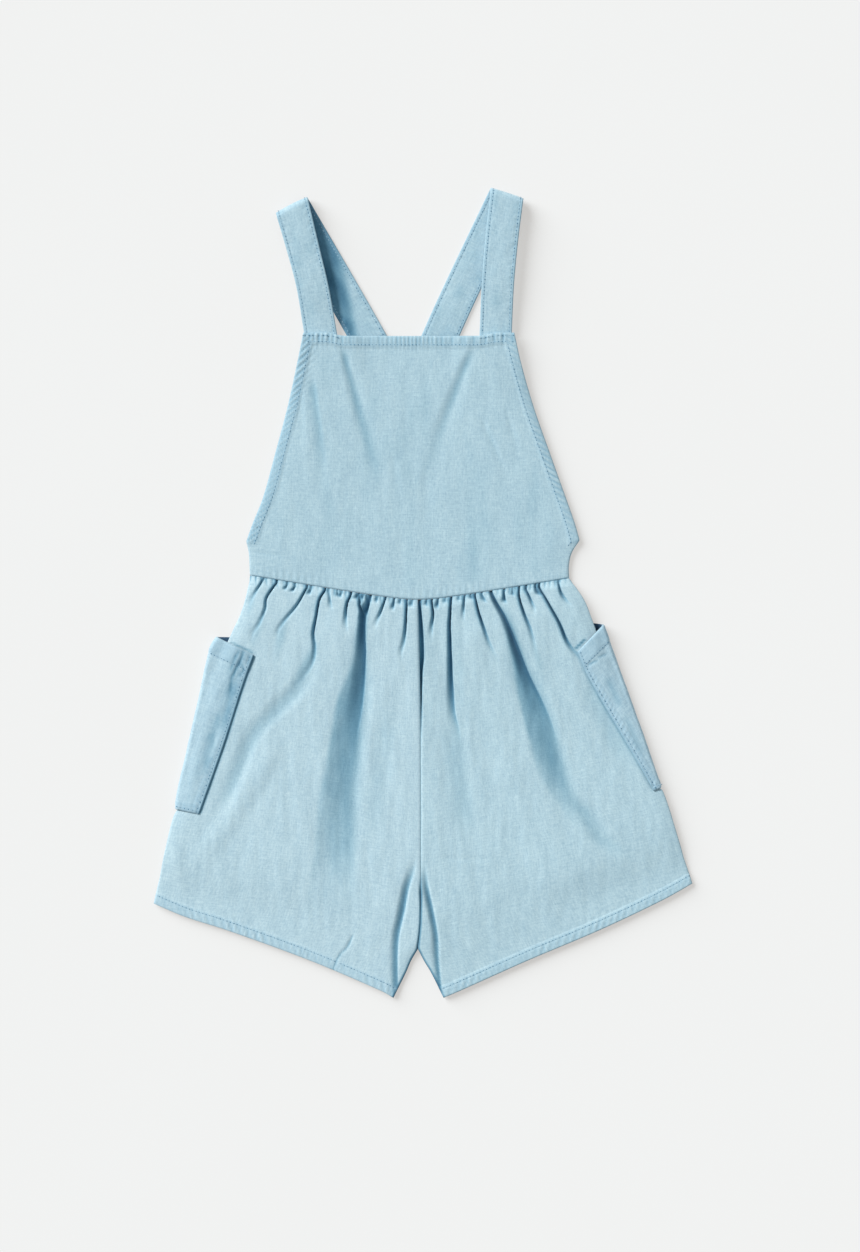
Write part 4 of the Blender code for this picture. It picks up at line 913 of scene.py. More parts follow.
def bib_surface(across, down):
    """x, y, underside, top, the hem bands' bluer tone with painted shade, and the painted shade of the bib,
    across and down its panel as shares.
    """
    left_y = mix(BIB_TOP_Y, waist_y(SIDE_SEAMS[-1][1]), down)
    right_y = mix(BIB_TOP_Y, waist_y(SIDE_SEAMS[-1][2]), down)
    left = bib_side_x(left_y, 1)
    right = bib_side_x(right_y, 2)
    width = right - left
    x = left + across * width
    low_end = waist_y(x) + SEAM_GAP / 2.0
    y = mix(bib_top_y(x), low_end, down)
    from_left = across * width
    from_right = width - from_left
    side_distance = np.minimum(from_left, from_right)
    from_top = bib_top_y(x) - y
    from_seam = y - low_end
    pressed, shade = bib_creases(x, y)
    low = bib_height(x, y, side_distance) - pressed
    calm = ease(6.0, 22.0, side_distance) * ease(9.0, 24.0, from_top) * ease(2.0, 14.0, from_seam)
    low = low + calm * (0.20 * cloud(x, y, 16.0, 52.0, 1.3) + 0.10 * cloud(x, y, 5.0, 16.0, 6.2))
    armhole = ease(-4.0, 2.0, y - ARMHOLE_EDGES[-1][0])
    side_band = armhole * (1.0 - ease(HEM_WIDTH, HEM_WIDTH + 1.0, side_distance))
    top_band = 1.0 - ease(HEM_WIDTH, HEM_WIDTH + 1.0, from_top)
    band = np.maximum(side_band, top_band)
    on_left = from_left < from_right
    seed = np.where(on_left, 2.1, 5.3)
    slant = y * 1.04 - np.where(on_left, 1.1, 0.8) * side_distance
    side_pucker = uneven_wave(slant, 6.0, seed) + 0.5 * uneven_wave(slant, 2.9, seed + 1.0)
    side_within = side_band * between(side_distance, (0.0, 1.8), (5.0, HEM_WIDTH))
    side_beyond = armhole * between(side_distance, (7.0, 9.0), (9.0, 18.0))
    top_pucker = uneven_wave(x, 3.4, 0.7) + 0.6 * uneven_wave(x, 8.0, 1.9)
    top_within = top_band * between(from_top, (0.0, 1.6), (5.0, HEM_WIDTH))
    top_beyond = between(from_top, (7.0, 9.0), (9.0, 16.0))
    height = np.where(on_left, ARMHOLE_PUCKER_LEFT, ARMHOLE_PUCKER_RIGHT)
    relief = height * side_pucker * side_within + ARMHOLE_PUCKER_BEYOND * side_pucker * side_beyond
    top_relief = PUCKER_HEIGHT * top_pucker * top_within + PUCKER_BEYOND * top_pucker * top_beyond
    relief = relief + top_relief * (1.0 - side_within)
    # The hem bands are bluer, with painted shade between the puckers and along the waist seam
    side_band = side_band * (np.where(on_left, 0.65, 0.25) - 0.45 * side_pucker)
    top_band = top_band * (0.45 - 0.4 * top_pucker)
    band_tone_and_shade = np.clip(np.maximum(side_band, top_band) + 0.3 * (1.0 - ease(0.0, 1.2, from_seam)), 0.0, 1.0)
    side_groove = armhole * ridge(side_distance, STITCH_INSET, GROOVE_WIDTH)
    top_groove = ridge(from_top, STITCH_INSET, GROOVE_WIDTH)
    side_groove = side_groove * ease(STITCH_INSET - 1.0, STITCH_INSET, from_top)
    top_groove = top_groove * ease(STITCH_INSET - 1.0, STITCH_INSET, side_distance)
    relief = relief - BIB_GROOVE * np.maximum(side_groove, top_groove)
    seam_tick = uneven_wave(x, 5.4, 4.4) * between(from_seam, (0.6, 2.4), (3.0, 12.0))
    edge_round = 1.0 - round_edge(np.minimum(side_distance, from_top), 1.0)
    seam_round = 1.0 - round_edge(from_seam, 1.3)
    top = low + CLOTH + HEM_RISE * band + relief + BIB_SEAM_TICK * seam_tick
    top = top - BIB_EDGE_DROP * edge_round - BIB_SEAM_DROP * seam_round
    # Random mottling, and painted shade: the creases, the ticks along the waist seam and the ribs between the
    # hem puckers
    mottle = 0.13 * cloud(x, y, 26.0, 90.0, 8.8) + 0.06 * cloud(x, y, 9.0, 34.0, 12.1)
    rib_shade = np.where(on_left, 0.4, 0.3) * np.clip(-side_pucker, 0.0, 1.0) * side_within
    rib_shade = np.maximum(rib_shade, 0.3 * np.clip(-top_pucker, 0.0, 1.0) * top_within)
    shade = np.clip(shade + calm * mottle + 0.16 * seam_tick + rib_shade, 0.0, 1.0)
    return x, y, low, top, band_tone_and_shade, shade


def distance_to_line(x, y, start, end):
    """Distance on the page from places to the line through two points."""
    along = np.array(end) - np.array(start)
    along = along / np.linalg.norm(along)
    return np.abs(along[0] * (y - start[1]) - along[1] * (x - start[0]))


def strap_back_height(x, y, over_line):
    """Underside of a strap's back part: on the floor, over the back waist and the other strap."""
    over_waist = (CLOTH + LAYER_GAP) * (1.0 - ease(*STRAP_CLEAR_OF_WAIST_Y, y))
    if over_line is None:
        return over_waist
    distance = distance_to_line(x, y, *over_line)
    over_strap = (STRAP_CLOTH + LAYER_GAP) * (1.0 - ease(*STRAP_CLEAR_OF_STRAP_REACH, distance))
    return np.maximum(over_waist, over_strap)


def unit(vectors):
    """Vectors of length 1 along the last axis."""
    return vectors / np.maximum(np.linalg.norm(vectors, axis=-1, keepdims=True), 1e-9)


def strap_middle(front, back_route, over_line):
    """The middle surface of a strap's wall: front part, shoulder fold and back part."""
    left_edge = Curve([(row[0], row[1]) for row in front])
    right_edge = Curve([(row[2], row[3]) for row in front])
    fold_left = left_edge.at(1.0)
    fold_right = right_edge.at(1.0)
    fold_middle = (fold_left + fold_right) / 2.0
    fold_line = unit(fold_right - fold_left)
    roll = STRAP_TURN_RADIUS + STRAP_CLOTH / 2.0
    across = np.linspace(0.0, 1.0, STRAP_COLUMNS + 1)[None, :, None]
    share = np.linspace(0.0, 1.0, STRAP_FRONT_ROWS + 1)
    straight = share * (1.0 - roll / left_edge.reaches[-1])
    left = left_edge.at(straight)
    right = right_edge.at(straight)
    flat = mix(left[:, None, :], right[:, None, :], across)
    height = mix(STRAP_FRONT_END_HEIGHT, STRAP_FRONT_HEIGHT, ease(0.05, 0.55, share)) + STRAP_CLOTH / 2.0
    front_part = np.concatenate([flat, np.broadcast_to(height[:, None, None], flat.shape[:2] + (1,))], axis=2)
    up_front = unit(fold_middle - (left[-1] + right[-1]) / 2.0)
    down_back = unit(np.array(back_route[0]) - fold_middle)
    angle = math.pi * np.arange(1, STRAP_TURN_STEPS)[:, None] / STRAP_TURN_STEPS
    turned = (1.0 - np.cos(angle)) / 2.0
    pull_back = mix(up_front * -roll, down_back * roll, turned)
    reach = mix(up_front, -down_back, turned) * STRAP_TURN_RADIUS * np.sin(angle)
    half = fold_line * mix(np.linalg.norm(right[-1] - left[-1]), STRAP_WIDTH, turned) / 2.0
    middle = fold_middle + pull_back + reach
    flat = mix((middle - half)[:, None, :], (middle + half)[:, None, :], across)
    height = mix(STRAP_FRONT_HEIGHT + STRAP_CLOTH / 2.0, STRAP_CLOTH / 2.0, turned)
    turn_part = np.concatenate([flat, np.broadcast_to(height[:, None, :], flat.shape[:2] + (1,))], axis=2)
    route = Curve([fold_middle + down_back * roll] + [np.array(point) for point in back_route])
    share = np.linspace(0.0, 1.0, STRAP_BACK_ROWS + 1)
    here = route.at(share)
    heading = unit(route.at(np.minimum(share + 0.02, 1.0)) - route.at(np.maximum(share - 0.02, 0.0)))
    straight_across = np.stack([-heading[:, 1], heading[:, 0]], axis=-1)
    line = unit(mix(fold_line, straight_across, ease(0.0, STRAP_STRAIGHTENS_BY, share)[:, None]))
    half = line * STRAP_WIDTH / 2.0
    flat = mix((here - half)[:, None, :], (here + half)[:, None, :], across)
    height = strap_back_height(flat[..., 0], flat[..., 1], over_line) + STRAP_CLOTH / 2.0
    back_part = np.concatenate([flat, height[..., None]], axis=2)
    return np.concatenate([front_part, turn_part, back_part])


def normals_of(grid):
    """Unit normals of a grid of points, up where the rows run down the page and columns to the right."""
    along = np.gradient(grid, axis=0)
    across = np.gradient(grid, axis=1)
    return unit(np.cross(along, across))


def thick_grids(middle, thickness, relief, other_relief):
    """The two sides of a wall about its middle surface, each with its own relief."""
    normals = normals_of(middle)
    half = thickness / 2.0
    return middle + normals * (half + relief)[..., None], middle - normals * (half + other_relief)[..., None]


def reach_along(grid):
    """Distance along the rows of a grid, down its middle column."""
    middle = grid[:, grid.shape[1] // 2]
    return np.concatenate(([0.0], np.cumsum(np.linalg.norm(np.diff(middle, axis=0), axis=1))))


def strap_grids(side):
    """Upper and lower side of a strap, its edge bands, its painted shade, and the places across and along it.
    """
    if side == "left":
        front, bend, end_x, over_line, seed = LEFT_STRAP_FRONT, LEFT_STRAP_BEND, LEFT_STRAP_END_X, None, 1.4
    else:
        over_line = (LEFT_STRAP_BEND, (LEFT_STRAP_END_X, STRAP_END_Y))
        front, bend, end_x, seed = RIGHT_STRAP_FRONT, RIGHT_STRAP_BEND, RIGHT_STRAP_END_X, 7.9
    middle = strap_middle(front, [bend, (end_x, STRAP_END_Y)], over_line)
    along = reach_along(middle)[:, None] + np.zeros(middle.shape[:2])
    across = np.linspace(0.0, 1.0, middle.shape[1])[None, :] + np.zeros(middle.shape[:2])
    from_edge = np.minimum(across, 1.0 - across) * STRAP_WIDTH
    edge_seed = np.where(across < 0.5, seed, seed + 2.0)
    pucker = uneven_wave(along + 0.6 * from_edge, 6.4, edge_seed) + 0.4 * uneven_wave(along, 3.0, edge_seed)
    near_edge = between(from_edge, (0.0, 1.0), (3.0, 8.0))
    groove = ridge(from_edge, EDGE_STITCH_INSET, EDGE_GROOVE_WIDTH)
    bow = STRAP_BOW * np.sin(math.pi * across)
    place = across * STRAP_WIDTH
    waves = 0.22 * cloud(place, along, 12.0, 26.0, seed) + 0.12 * cloud(place, along, 6.0, 9.0, seed)
    relief = bow + STRAP_PUCKER * pucker * near_edge - STRAP_GROOVE * groove
    relief = relief + waves * ease(0.0, 5.0, from_edge)
    thickness = mix(0.75, 1.0, round_edge(from_edge, 1.2)) * STRAP_CLOTH
    front_rows = STRAP_FRONT_ROWS + STRAP_TURN_STEPS // 2
    on_front = (np.arange(middle.shape[0]) < front_rows)[:, None]
    upper_relief = np.where(on_front, 0.0, relief)
    lower_relief = np.where(on_front, relief, 0.0)
    upper, lower = thick_grids(middle, thickness, upper_relief, lower_relief)
    edge = Curve([(row[2], row[3]) for row in front[::-1]])
    edge_y = edge.points[:, 1]
    edge_x = np.interp(middle[..., 1], edge_y[::-1], edge.points[::-1, 0])
    reach = np.abs(middle[..., 0] - edge_x)
    # Painted shadow of the front part on the back part beside it, painted shade over the whole back part and
    # between the puckers, and random blotches
    painted_shadow = BACK_STRAP_SHADE[side] * (1.0 - ease(9.0, 20.0, reach)) * (1.0 - on_front)
    blotch = 0.12 * cloud(place, along, 9.0, 14.0, seed + 3.0)
    pucker_shade = 0.10 * np.clip(-pucker, 0.0, 1.0) * near_edge
    shade = np.clip(painted_shadow + 0.08 * (1.0 - on_front) + 0.03 + blotch + pucker_shade, 0.0, 1.0)
    return upper, lower, 1.0 - ease(1.5, 4.0, from_edge), shade, place, along


def highest_near(tree, x, y, radius):
    """Top of the surface within a radius of a place on the page, or None beside it."""
    places = [(x, y)]
    for turn in range(8):
        angle = math.pi * turn / 4.0
        places.append((x + radius * math.cos(angle), y + radius * math.sin(angle)))
    heights = []
    for place_x, place_y in places:
        hit = tree.ray_cast(Vector((place_x, place_y, 100.0)), Vector((0.0, 0.0, -1.0)))[0]
        if hit:
            heights.append(hit.z)
    return max(heights) if heights else None


def smoothed(values, rounds):
    """Values of a grid, averaged with their neighbours a number of times."""
    for _ in range(rounds):
        padded = np.pad(values, 1, mode="edge")
        values = (padded[1:-1, 1:-1] * 2.0 + padded[:-2, 1:-1] + padded[2:, 1:-1]
                  + padded[1:-1, :-2] + padded[1:-1, 2:]) / 6.0
    return values


def pocket_grids(leg, tree):
    """Upper and lower side of a patch pocket that wraps round its leg's side fold, its bluer bands,
    its painted shade, and the distances from its front edge and from its mouth."""
    fold, front = Curve(leg.fold), Curve(leg.front)
    start, end = fold.at(0.0), fold.at(1.0)
    direction = unit(end - start)
    length = np.linalg.norm(end - start)
    share = np.linspace(0.0, 1.0, POCKET_ROWS + 1)
    outer = fold.at(share)
    inner = front.at(share)
    front_way = unit(inner - outer)
    back_way = front_way - 2.0 * (front_way @ direction)[:, None] * direction
    outer = outer + front_way * CLOTH / 2.0
    front_width = np.linalg.norm(inner - outer, axis=1)
    across = np.linspace(0.0, 1.0, POCKET_FRONT_COLUMNS + 1)[None, :, None]
    near_fold = (outer + front_way * POCKET_TURN)[:, None, :]
    flat = mix(inner[:, None, :], near_fold, across)
    levels = np.zeros(flat.shape[:2])
    for row in range(flat.shape[0]):
        level = 0.0
        for column in range(flat.shape[1]):
            below = highest_near(tree, *flat[row, column], POCKET_REST_RADIUS)
            level = level if below is None else below
            levels[row, column] = level
    rest = levels.copy()
    levels = np.maximum(smoothed(levels, 10), rest)
    levels = smoothed(levels, 2)
    down = (share * length)[:, None] + np.zeros(levels.shape)
    from_front = across[..., 0] * np.linalg.norm(near_fold - inner[:, None, :], axis=2)
    gape = POCKET_MOUTH_GAPE * (1.0 - ease(0.0, POCKET_GAPE_LENGTH, down)) * ease(3.0, 12.0, from_front)
    levels = levels + POCKET_REST_GAP + CLOTH / 2.0 + gape
    front_part = np.concatenate([flat, levels[..., None]], axis=2)
    level = levels[:, -1]
    bottom = CLOTH / 2.0
    angle = math.pi * np.arange(1, POCKET_TURN_STEPS) / POCKET_TURN_STEPS
    step = (np.arange(1, POCKET_TURN_STEPS) / POCKET_TURN_STEPS)[None, :, None]
    inward = mix(front_way[:, None, :], back_way[:, None, :], step)
    flat = outer[:, None, :] + inward * POCKET_TURN * (1.0 - np.sin(angle))[None, :, None]
    height = mix(bottom, level[:, None], (1.0 + np.cos(angle))[None, :] / 2.0)
    turn_part = np.concatenate([flat, height[..., None]], axis=2)
    back_width = POCKET_WIDTH - front_width
    across = np.linspace(0.0, 1.0, POCKET_BACK_COLUMNS + 1)[None, :]
    reach = mix(POCKET_TURN, back_width[:, None], across)
    flat = outer[:, None, :] + back_way[:, None, :] * reach[..., None]
    height = np.full(flat.shape[:2] + (1,), bottom)
    back_part = np.concatenate([flat, height], axis=2)
    middle = np.concatenate([front_part, turn_part, back_part], axis=1)
    if leg.outer_is_left:
        middle = middle[:, ::-1]
    steps = np.linalg.norm(np.diff(middle, axis=1), axis=2)
    from_left = np.concatenate([np.zeros((middle.shape[0], 1)), np.cumsum(steps, axis=1)], axis=1)
    from_right = from_left[:, -1:] - from_left
    from_front = from_right if leg.outer_is_left else from_left
    down = (share * length)[:, None] + np.zeros(from_left.shape)
    relief, band_tone_and_shade, shade = pocket_relief(leg, middle, from_front, np.minimum(from_left, from_right), down,
                                       length - down)
    showing = ease(CLOTH, 2.0 * CLOTH, middle[..., 2])
    upper, lower = thick_grids(middle, np.full(down.shape, CLOTH), relief * showing, 0.0 * down)
    return upper, lower, band_tone_and_shade, shade, from_front, down


def pocket_relief(leg, middle, from_front, side, down, from_bottom):
    """Relief of a pocket's outer side, its bands' bluer tone with painted shade between the puckers, and
    painted shade along the edges and in the creases.
    """
    seed = leg.seed + 5.0
    mouth = 1.0 - ease(POCKET_HEM, POCKET_HEM + 1.0, down)
    turned = 1.0 - ease(6.0, 7.0, np.minimum(side, from_bottom))
    band = np.maximum(mouth, turned)
    rim = 1.0 - round_edge(np.minimum(np.minimum(side, down), from_bottom), 1.6)
    along = down + 0.5 * side
    pucker = uneven_wave(along, 5.2, seed) + 0.5 * uneven_wave(along, 2.9, seed + 1.0)
    near_stitches = between(side, (0.8, 2.2), (3.5, 9.0))
    across = from_front + 0.3 * down
    bottom_pucker = uneven_wave(across, 4.0, seed + 2.0) * between(from_bottom, (0.8, 2.0), (4.0, 10.0))
    groove = ridge(side, EDGE_STITCH_INSET, EDGE_GROOVE_WIDTH) * ease(0.5, 1.5, down)
    hem_groove = ridge(down, POCKET_HEM, GROOVE_WIDTH) * ease(1.5, 2.6, side)
    bottom_groove = ridge(from_bottom, EDGE_STITCH_INSET, EDGE_GROOVE_WIDTH)
    waves = 0.20 * cloud(from_front, down, 9.0, 22.0, seed) + 0.12 * cloud(from_front, down, 4.0, 7.0, seed)
    relief = POCKET_HEM_RISE * mouth + POCKET_EDGE_RISE * turned - POCKET_EDGE_DROP * rim
    relief = relief + POCKET_PUCKER * pucker * near_stitches + POCKET_PUCKER * bottom_pucker
    relief = relief - POCKET_GROOVE * np.maximum(np.maximum(groove, bottom_groove), hem_groove)
    relief = relief + waves * ease(2.0, 8.0, side)
    creases = LEFT_POCKET_CREASES if leg.outer_is_left else RIGHT_POCKET_CREASES
    front_side = ease(2.0, 4.0, middle[..., 2])
    # Painted shade along the edges and in the creases; on the left pocket a painted shadow along the front
    # edge, and darker blotches towards it
    shade = 0.35 * ridge(side, 0.0, 1.2)
    if leg.outer_is_left:
        shade = shade + 0.45 * ridge(from_front, 0.0, 0.5)
        blotches = np.clip(cloud(from_front, down, 4.0, 8.0, seed + 7.0), 0.0, 1.0)
        shade = shade + (0.05 + 0.16 * blotches) * (1.0 - ease(6.0, 26.0, from_front)) * front_side
    for start_x, start_y, end_x, end_y, depth, spread in creases:
        pressed = depth * front_side * crease(middle, (start_x, start_y), (end_x, end_y), spread)
        relief = relief - pressed
        shade = shade + 0.66 * pressed
    # Bluer bands, with painted shade between the puckers
    band_tone_and_shade = np.clip(band * 0.35 - 0.3 * pucker * near_stitches, 0.0, 1.0)
    return relief, band_tone_and_shade, np.clip(shade, 0.0, 1.0)


def crease(grid, start, end, spread):
    """A trough along a straight line on the page, faded at both ends."""
    line = np.array(end) - np.array(start)
    length = np.linalg.norm(line)
    line = line / length
    offset = grid[..., :2] - np.array(start)
    along = (offset @ line) / length
    aside = offset[..., 0] * line[1] - offset[..., 1] * line[0]
    return between(along, (-0.1, 0.25), (0.75, 1.1)) * ridge(aside, 0.0, spread)


def grid_faces(rows, columns, flip):
    """Faces of a grid of points whose rows run down the page and columns to the right."""
    row, column = np.meshgrid(np.arange(rows - 1), np.arange(columns - 1), indexing="ij")
    first = (row * columns + column).ravel()
    corners = [first, first + columns, first + columns + 1, first + 1]
    if flip:
        corners.reverse()
    return np.stack(corners, axis=1)


def grid_border(rows, columns):
    """Point numbers round the edge of a grid, in the order that faces outwards."""
    left = np.arange(rows) * columns
    bottom = (rows - 1) * columns + np.arange(1, columns)
    right = np.arange(rows - 2, -1, -1) * columns + columns - 1
    top = np.arange(columns - 2, 0, -1)
    return np.concatenate([left, bottom, right, top])


def add_object(name, data):
    """A new object in the scene."""
    thing = bpy.data.objects.new(name, data)
    bpy.context.scene.collection.objects.link(thing)
    return thing


def make_shell(name, upper, lower, cloth_map, masks, material):
    """Close two grids of points into one wall of cloth with its cloth map and masks."""
    rows, columns = upper.shape[:2]
    count = rows * columns
    points = np.concatenate([upper.reshape(-1, 3), lower.reshape(-1, 3)])
    points = (points + np.array((0.0, SHIFT_Y, 0.0))) * MM
    edge = grid_border(rows, columns)
    after = np.roll(edge, -1)
    walls = np.stack([edge, edge + count, after + count, after], axis=1)
    faces = np.concatenate([
        grid_faces(rows, columns, False),
        grid_faces(rows, columns, True) + count,
        walls,
    ])
    mesh = bpy.data.meshes.new(name)
    mesh.from_pydata(points.tolist(), [], faces.tolist())
    smooth = np.ones(len(faces), bool)
    smooth[-len(walls):] = False
    mesh.polygons.foreach_set("use_smooth", smooth)
    flat_map = np.tile(cloth_map.reshape(-1, 2), (2, 1)) * MM
    loops = np.empty(len(mesh.loops), int)
    mesh.loops.foreach_get("vertex_index", loops)
    layer = mesh.uv_layers.new(name="cloth")
    layer.data.foreach_set("uv", flat_map[loops].astype(np.float32).ravel())
    # Masks: fold holds painted shade, band the hem bands' bluer tone with painted shade, and inside marks the
    # inner side, which the pockets paint as shadow
    inside = np.concatenate([np.zeros(count), np.ones(count)])
    for mask, values in list(masks.items()) + [("inside", None)]:
        attribute = mesh.attributes.new(mask, "FLOAT", "POINT")
        doubled = inside if values is None else np.tile(np.ravel(values), 2)
        attribute.data.foreach_set("value", doubled.astype(np.float32))
    mesh.materials.append(material)
    return add_object(name, mesh)


def put(tree, socket, value):
    """Link an input to another node's socket, or set it to a plain value."""
    if isinstance(value, bpy.types.NodeSocket):
        tree.links.new(value, socket)
    else:
        socket.default_value = value


def new_node(tree, kind, place, **settings):
    """Add a node, set its properties, and set or link its named or numbered inputs."""
    node = tree.nodes.new(kind)
    node.location = place
    inputs = settings.pop("inputs", {})
    for key, value in settings.items():
        setattr(node, key, value)
    for key, value in inputs.items():
        put(tree, node.inputs[key], value)
    return node


def math_node(tree, operation, place, *values):
    """A Math node whose inputs are sockets or plain numbers."""
    inputs = dict(enumerate(values))
    return new_node(tree, "ShaderNodeMath", place, operation=operation, inputs=inputs).outputs[0]


def mix_colours(tree, blend, place, factor, first, second):
    """A Mix node for colours, its result clamped. Its colour inputs have the numbers 0, 6 and 7."""
    return new_node(tree, "ShaderNodeMix", place, data_type="RGBA", blend_type=blend, clamp_result=True,
                    inputs={0: factor, 6: first, 7: second}).outputs[2]


def noise_over(tree, place, vector, scale_u, scale_v, detail):
    """Noise over the cloth map, stretched by its own scale along and across the cloth."""
    stretch = new_node(tree, "ShaderNodeMapping", place,
                       inputs={"Vector": vector, "Scale": (scale_u, scale_v, 1.0)})
    return new_node(tree, "ShaderNodeTexNoise", (place[0] + 200, place[1]), noise_dimensions="2D",
                    inputs={"Vector": stretch.outputs["Vector"], "Scale": 1.0, "Detail": detail,
                            "Roughness": 0.6}).outputs["Fac"]


def noise_in_place(tree, scale):
    """Noise over an object's own space."""
    place = new_node(tree, "ShaderNodeTexCoord", (-900, 0)).outputs["Object"]
    return new_node(tree, "ShaderNodeTexNoise", (-700, 0),
                    inputs={"Vector": place, "Scale": scale, "Detail": 2.0}).outputs["Fac"]


def mask(tree, place, name):
    """The value of one of the cloth's masks."""
    return new_node(tree, "ShaderNodeAttribute", place, attribute_name=name).outputs["Fac"]


def group_sockets(tree, inputs, outputs):
    """Give a node group its named sockets, and return those of its input and output nodes."""
    for name, kind, value in inputs:
        socket = tree.interface.new_socket(name, in_out="INPUT", socket_type=kind)
        if value is not None:
            socket.default_value = value
    for name, kind in outputs:
        tree.interface.new_socket(name, in_out="OUTPUT", socket_type=kind)
    entry = new_node(tree, "NodeGroupInput", (-1400, 0))
    leave = new_node(tree, "NodeGroupOutput", (1400, 0))
    return entry.outputs, leave.inputs


def weave_group():
    """Plain weave over the cloth map: which yarn lies on top, and its height."""
    name = "Plain Weave"
    if name in bpy.data.node_groups:
        return bpy.data.node_groups[name]
    tree = bpy.data.node_groups.new(name, "ShaderNodeTree")
    entry, leave = group_sockets(
        tree,
        [("Yarn Pitch", "NodeSocketFloat", 0.00036), ("Unevenness", "NodeSocketFloat", 0.00012)],
        [("Warp On Top", "NodeSocketFloat"), ("Height", "NodeSocketFloat")],
    )
    cloth_map = new_node(tree, "ShaderNodeUVMap", (-1400, 300), uv_map="cloth").outputs[0]
    parts = new_node(tree, "ShaderNodeSeparateXYZ", (-1100, 300), inputs={0: cloth_map})
    waves = []
    for index, (scale_u, scale_v) in enumerate(((700.0, 60.0), (60.0, 700.0))):
        level = 200 - 300 * index
        drift = noise_over(tree, (-1100, level - 300), cloth_map, scale_u, scale_v, 1.0)
        shift = math_node(tree, "MULTIPLY", (-700, level - 300), drift, entry["Unevenness"])
        moved = math_node(tree, "ADD", (-500, level), parts.outputs[index], shift)
        turns = math_node(tree, "DIVIDE", (-300, level), moved, entry["Yarn Pitch"])
        angle = math_node(tree, "MULTIPLY", (-100, level), turns, math.pi)
        waves.append(math_node(tree, "SINE", (100, level), angle))
    product = math_node(tree, "MULTIPLY", (300, 200), waves[0], waves[1])
    steep = math_node(tree, "MULTIPLY_ADD", (400, 300), product, 3.0, 0.5)
    on_top = math_node(tree, "SMOOTH_MIN", (500, 300), steep, 1.0, 0.1)
    on_top = math_node(tree, "MAXIMUM", (650, 300), on_top, 0.0)
    warp = math_node(tree, "ABSOLUTE", (300, 0), waves[0])
    weft = math_node(tree, "ABSOLUTE", (300, -200), waves[1])
    difference = math_node(tree, "SUBTRACT", (700, 0), warp, weft)
    height = math_node(tree, "MULTIPLY_ADD", (900, 0), difference, on_top, weft)
    put(tree, leave["Warp On Top"], on_top)
    put(tree, leave["Height"], height)
    return tree


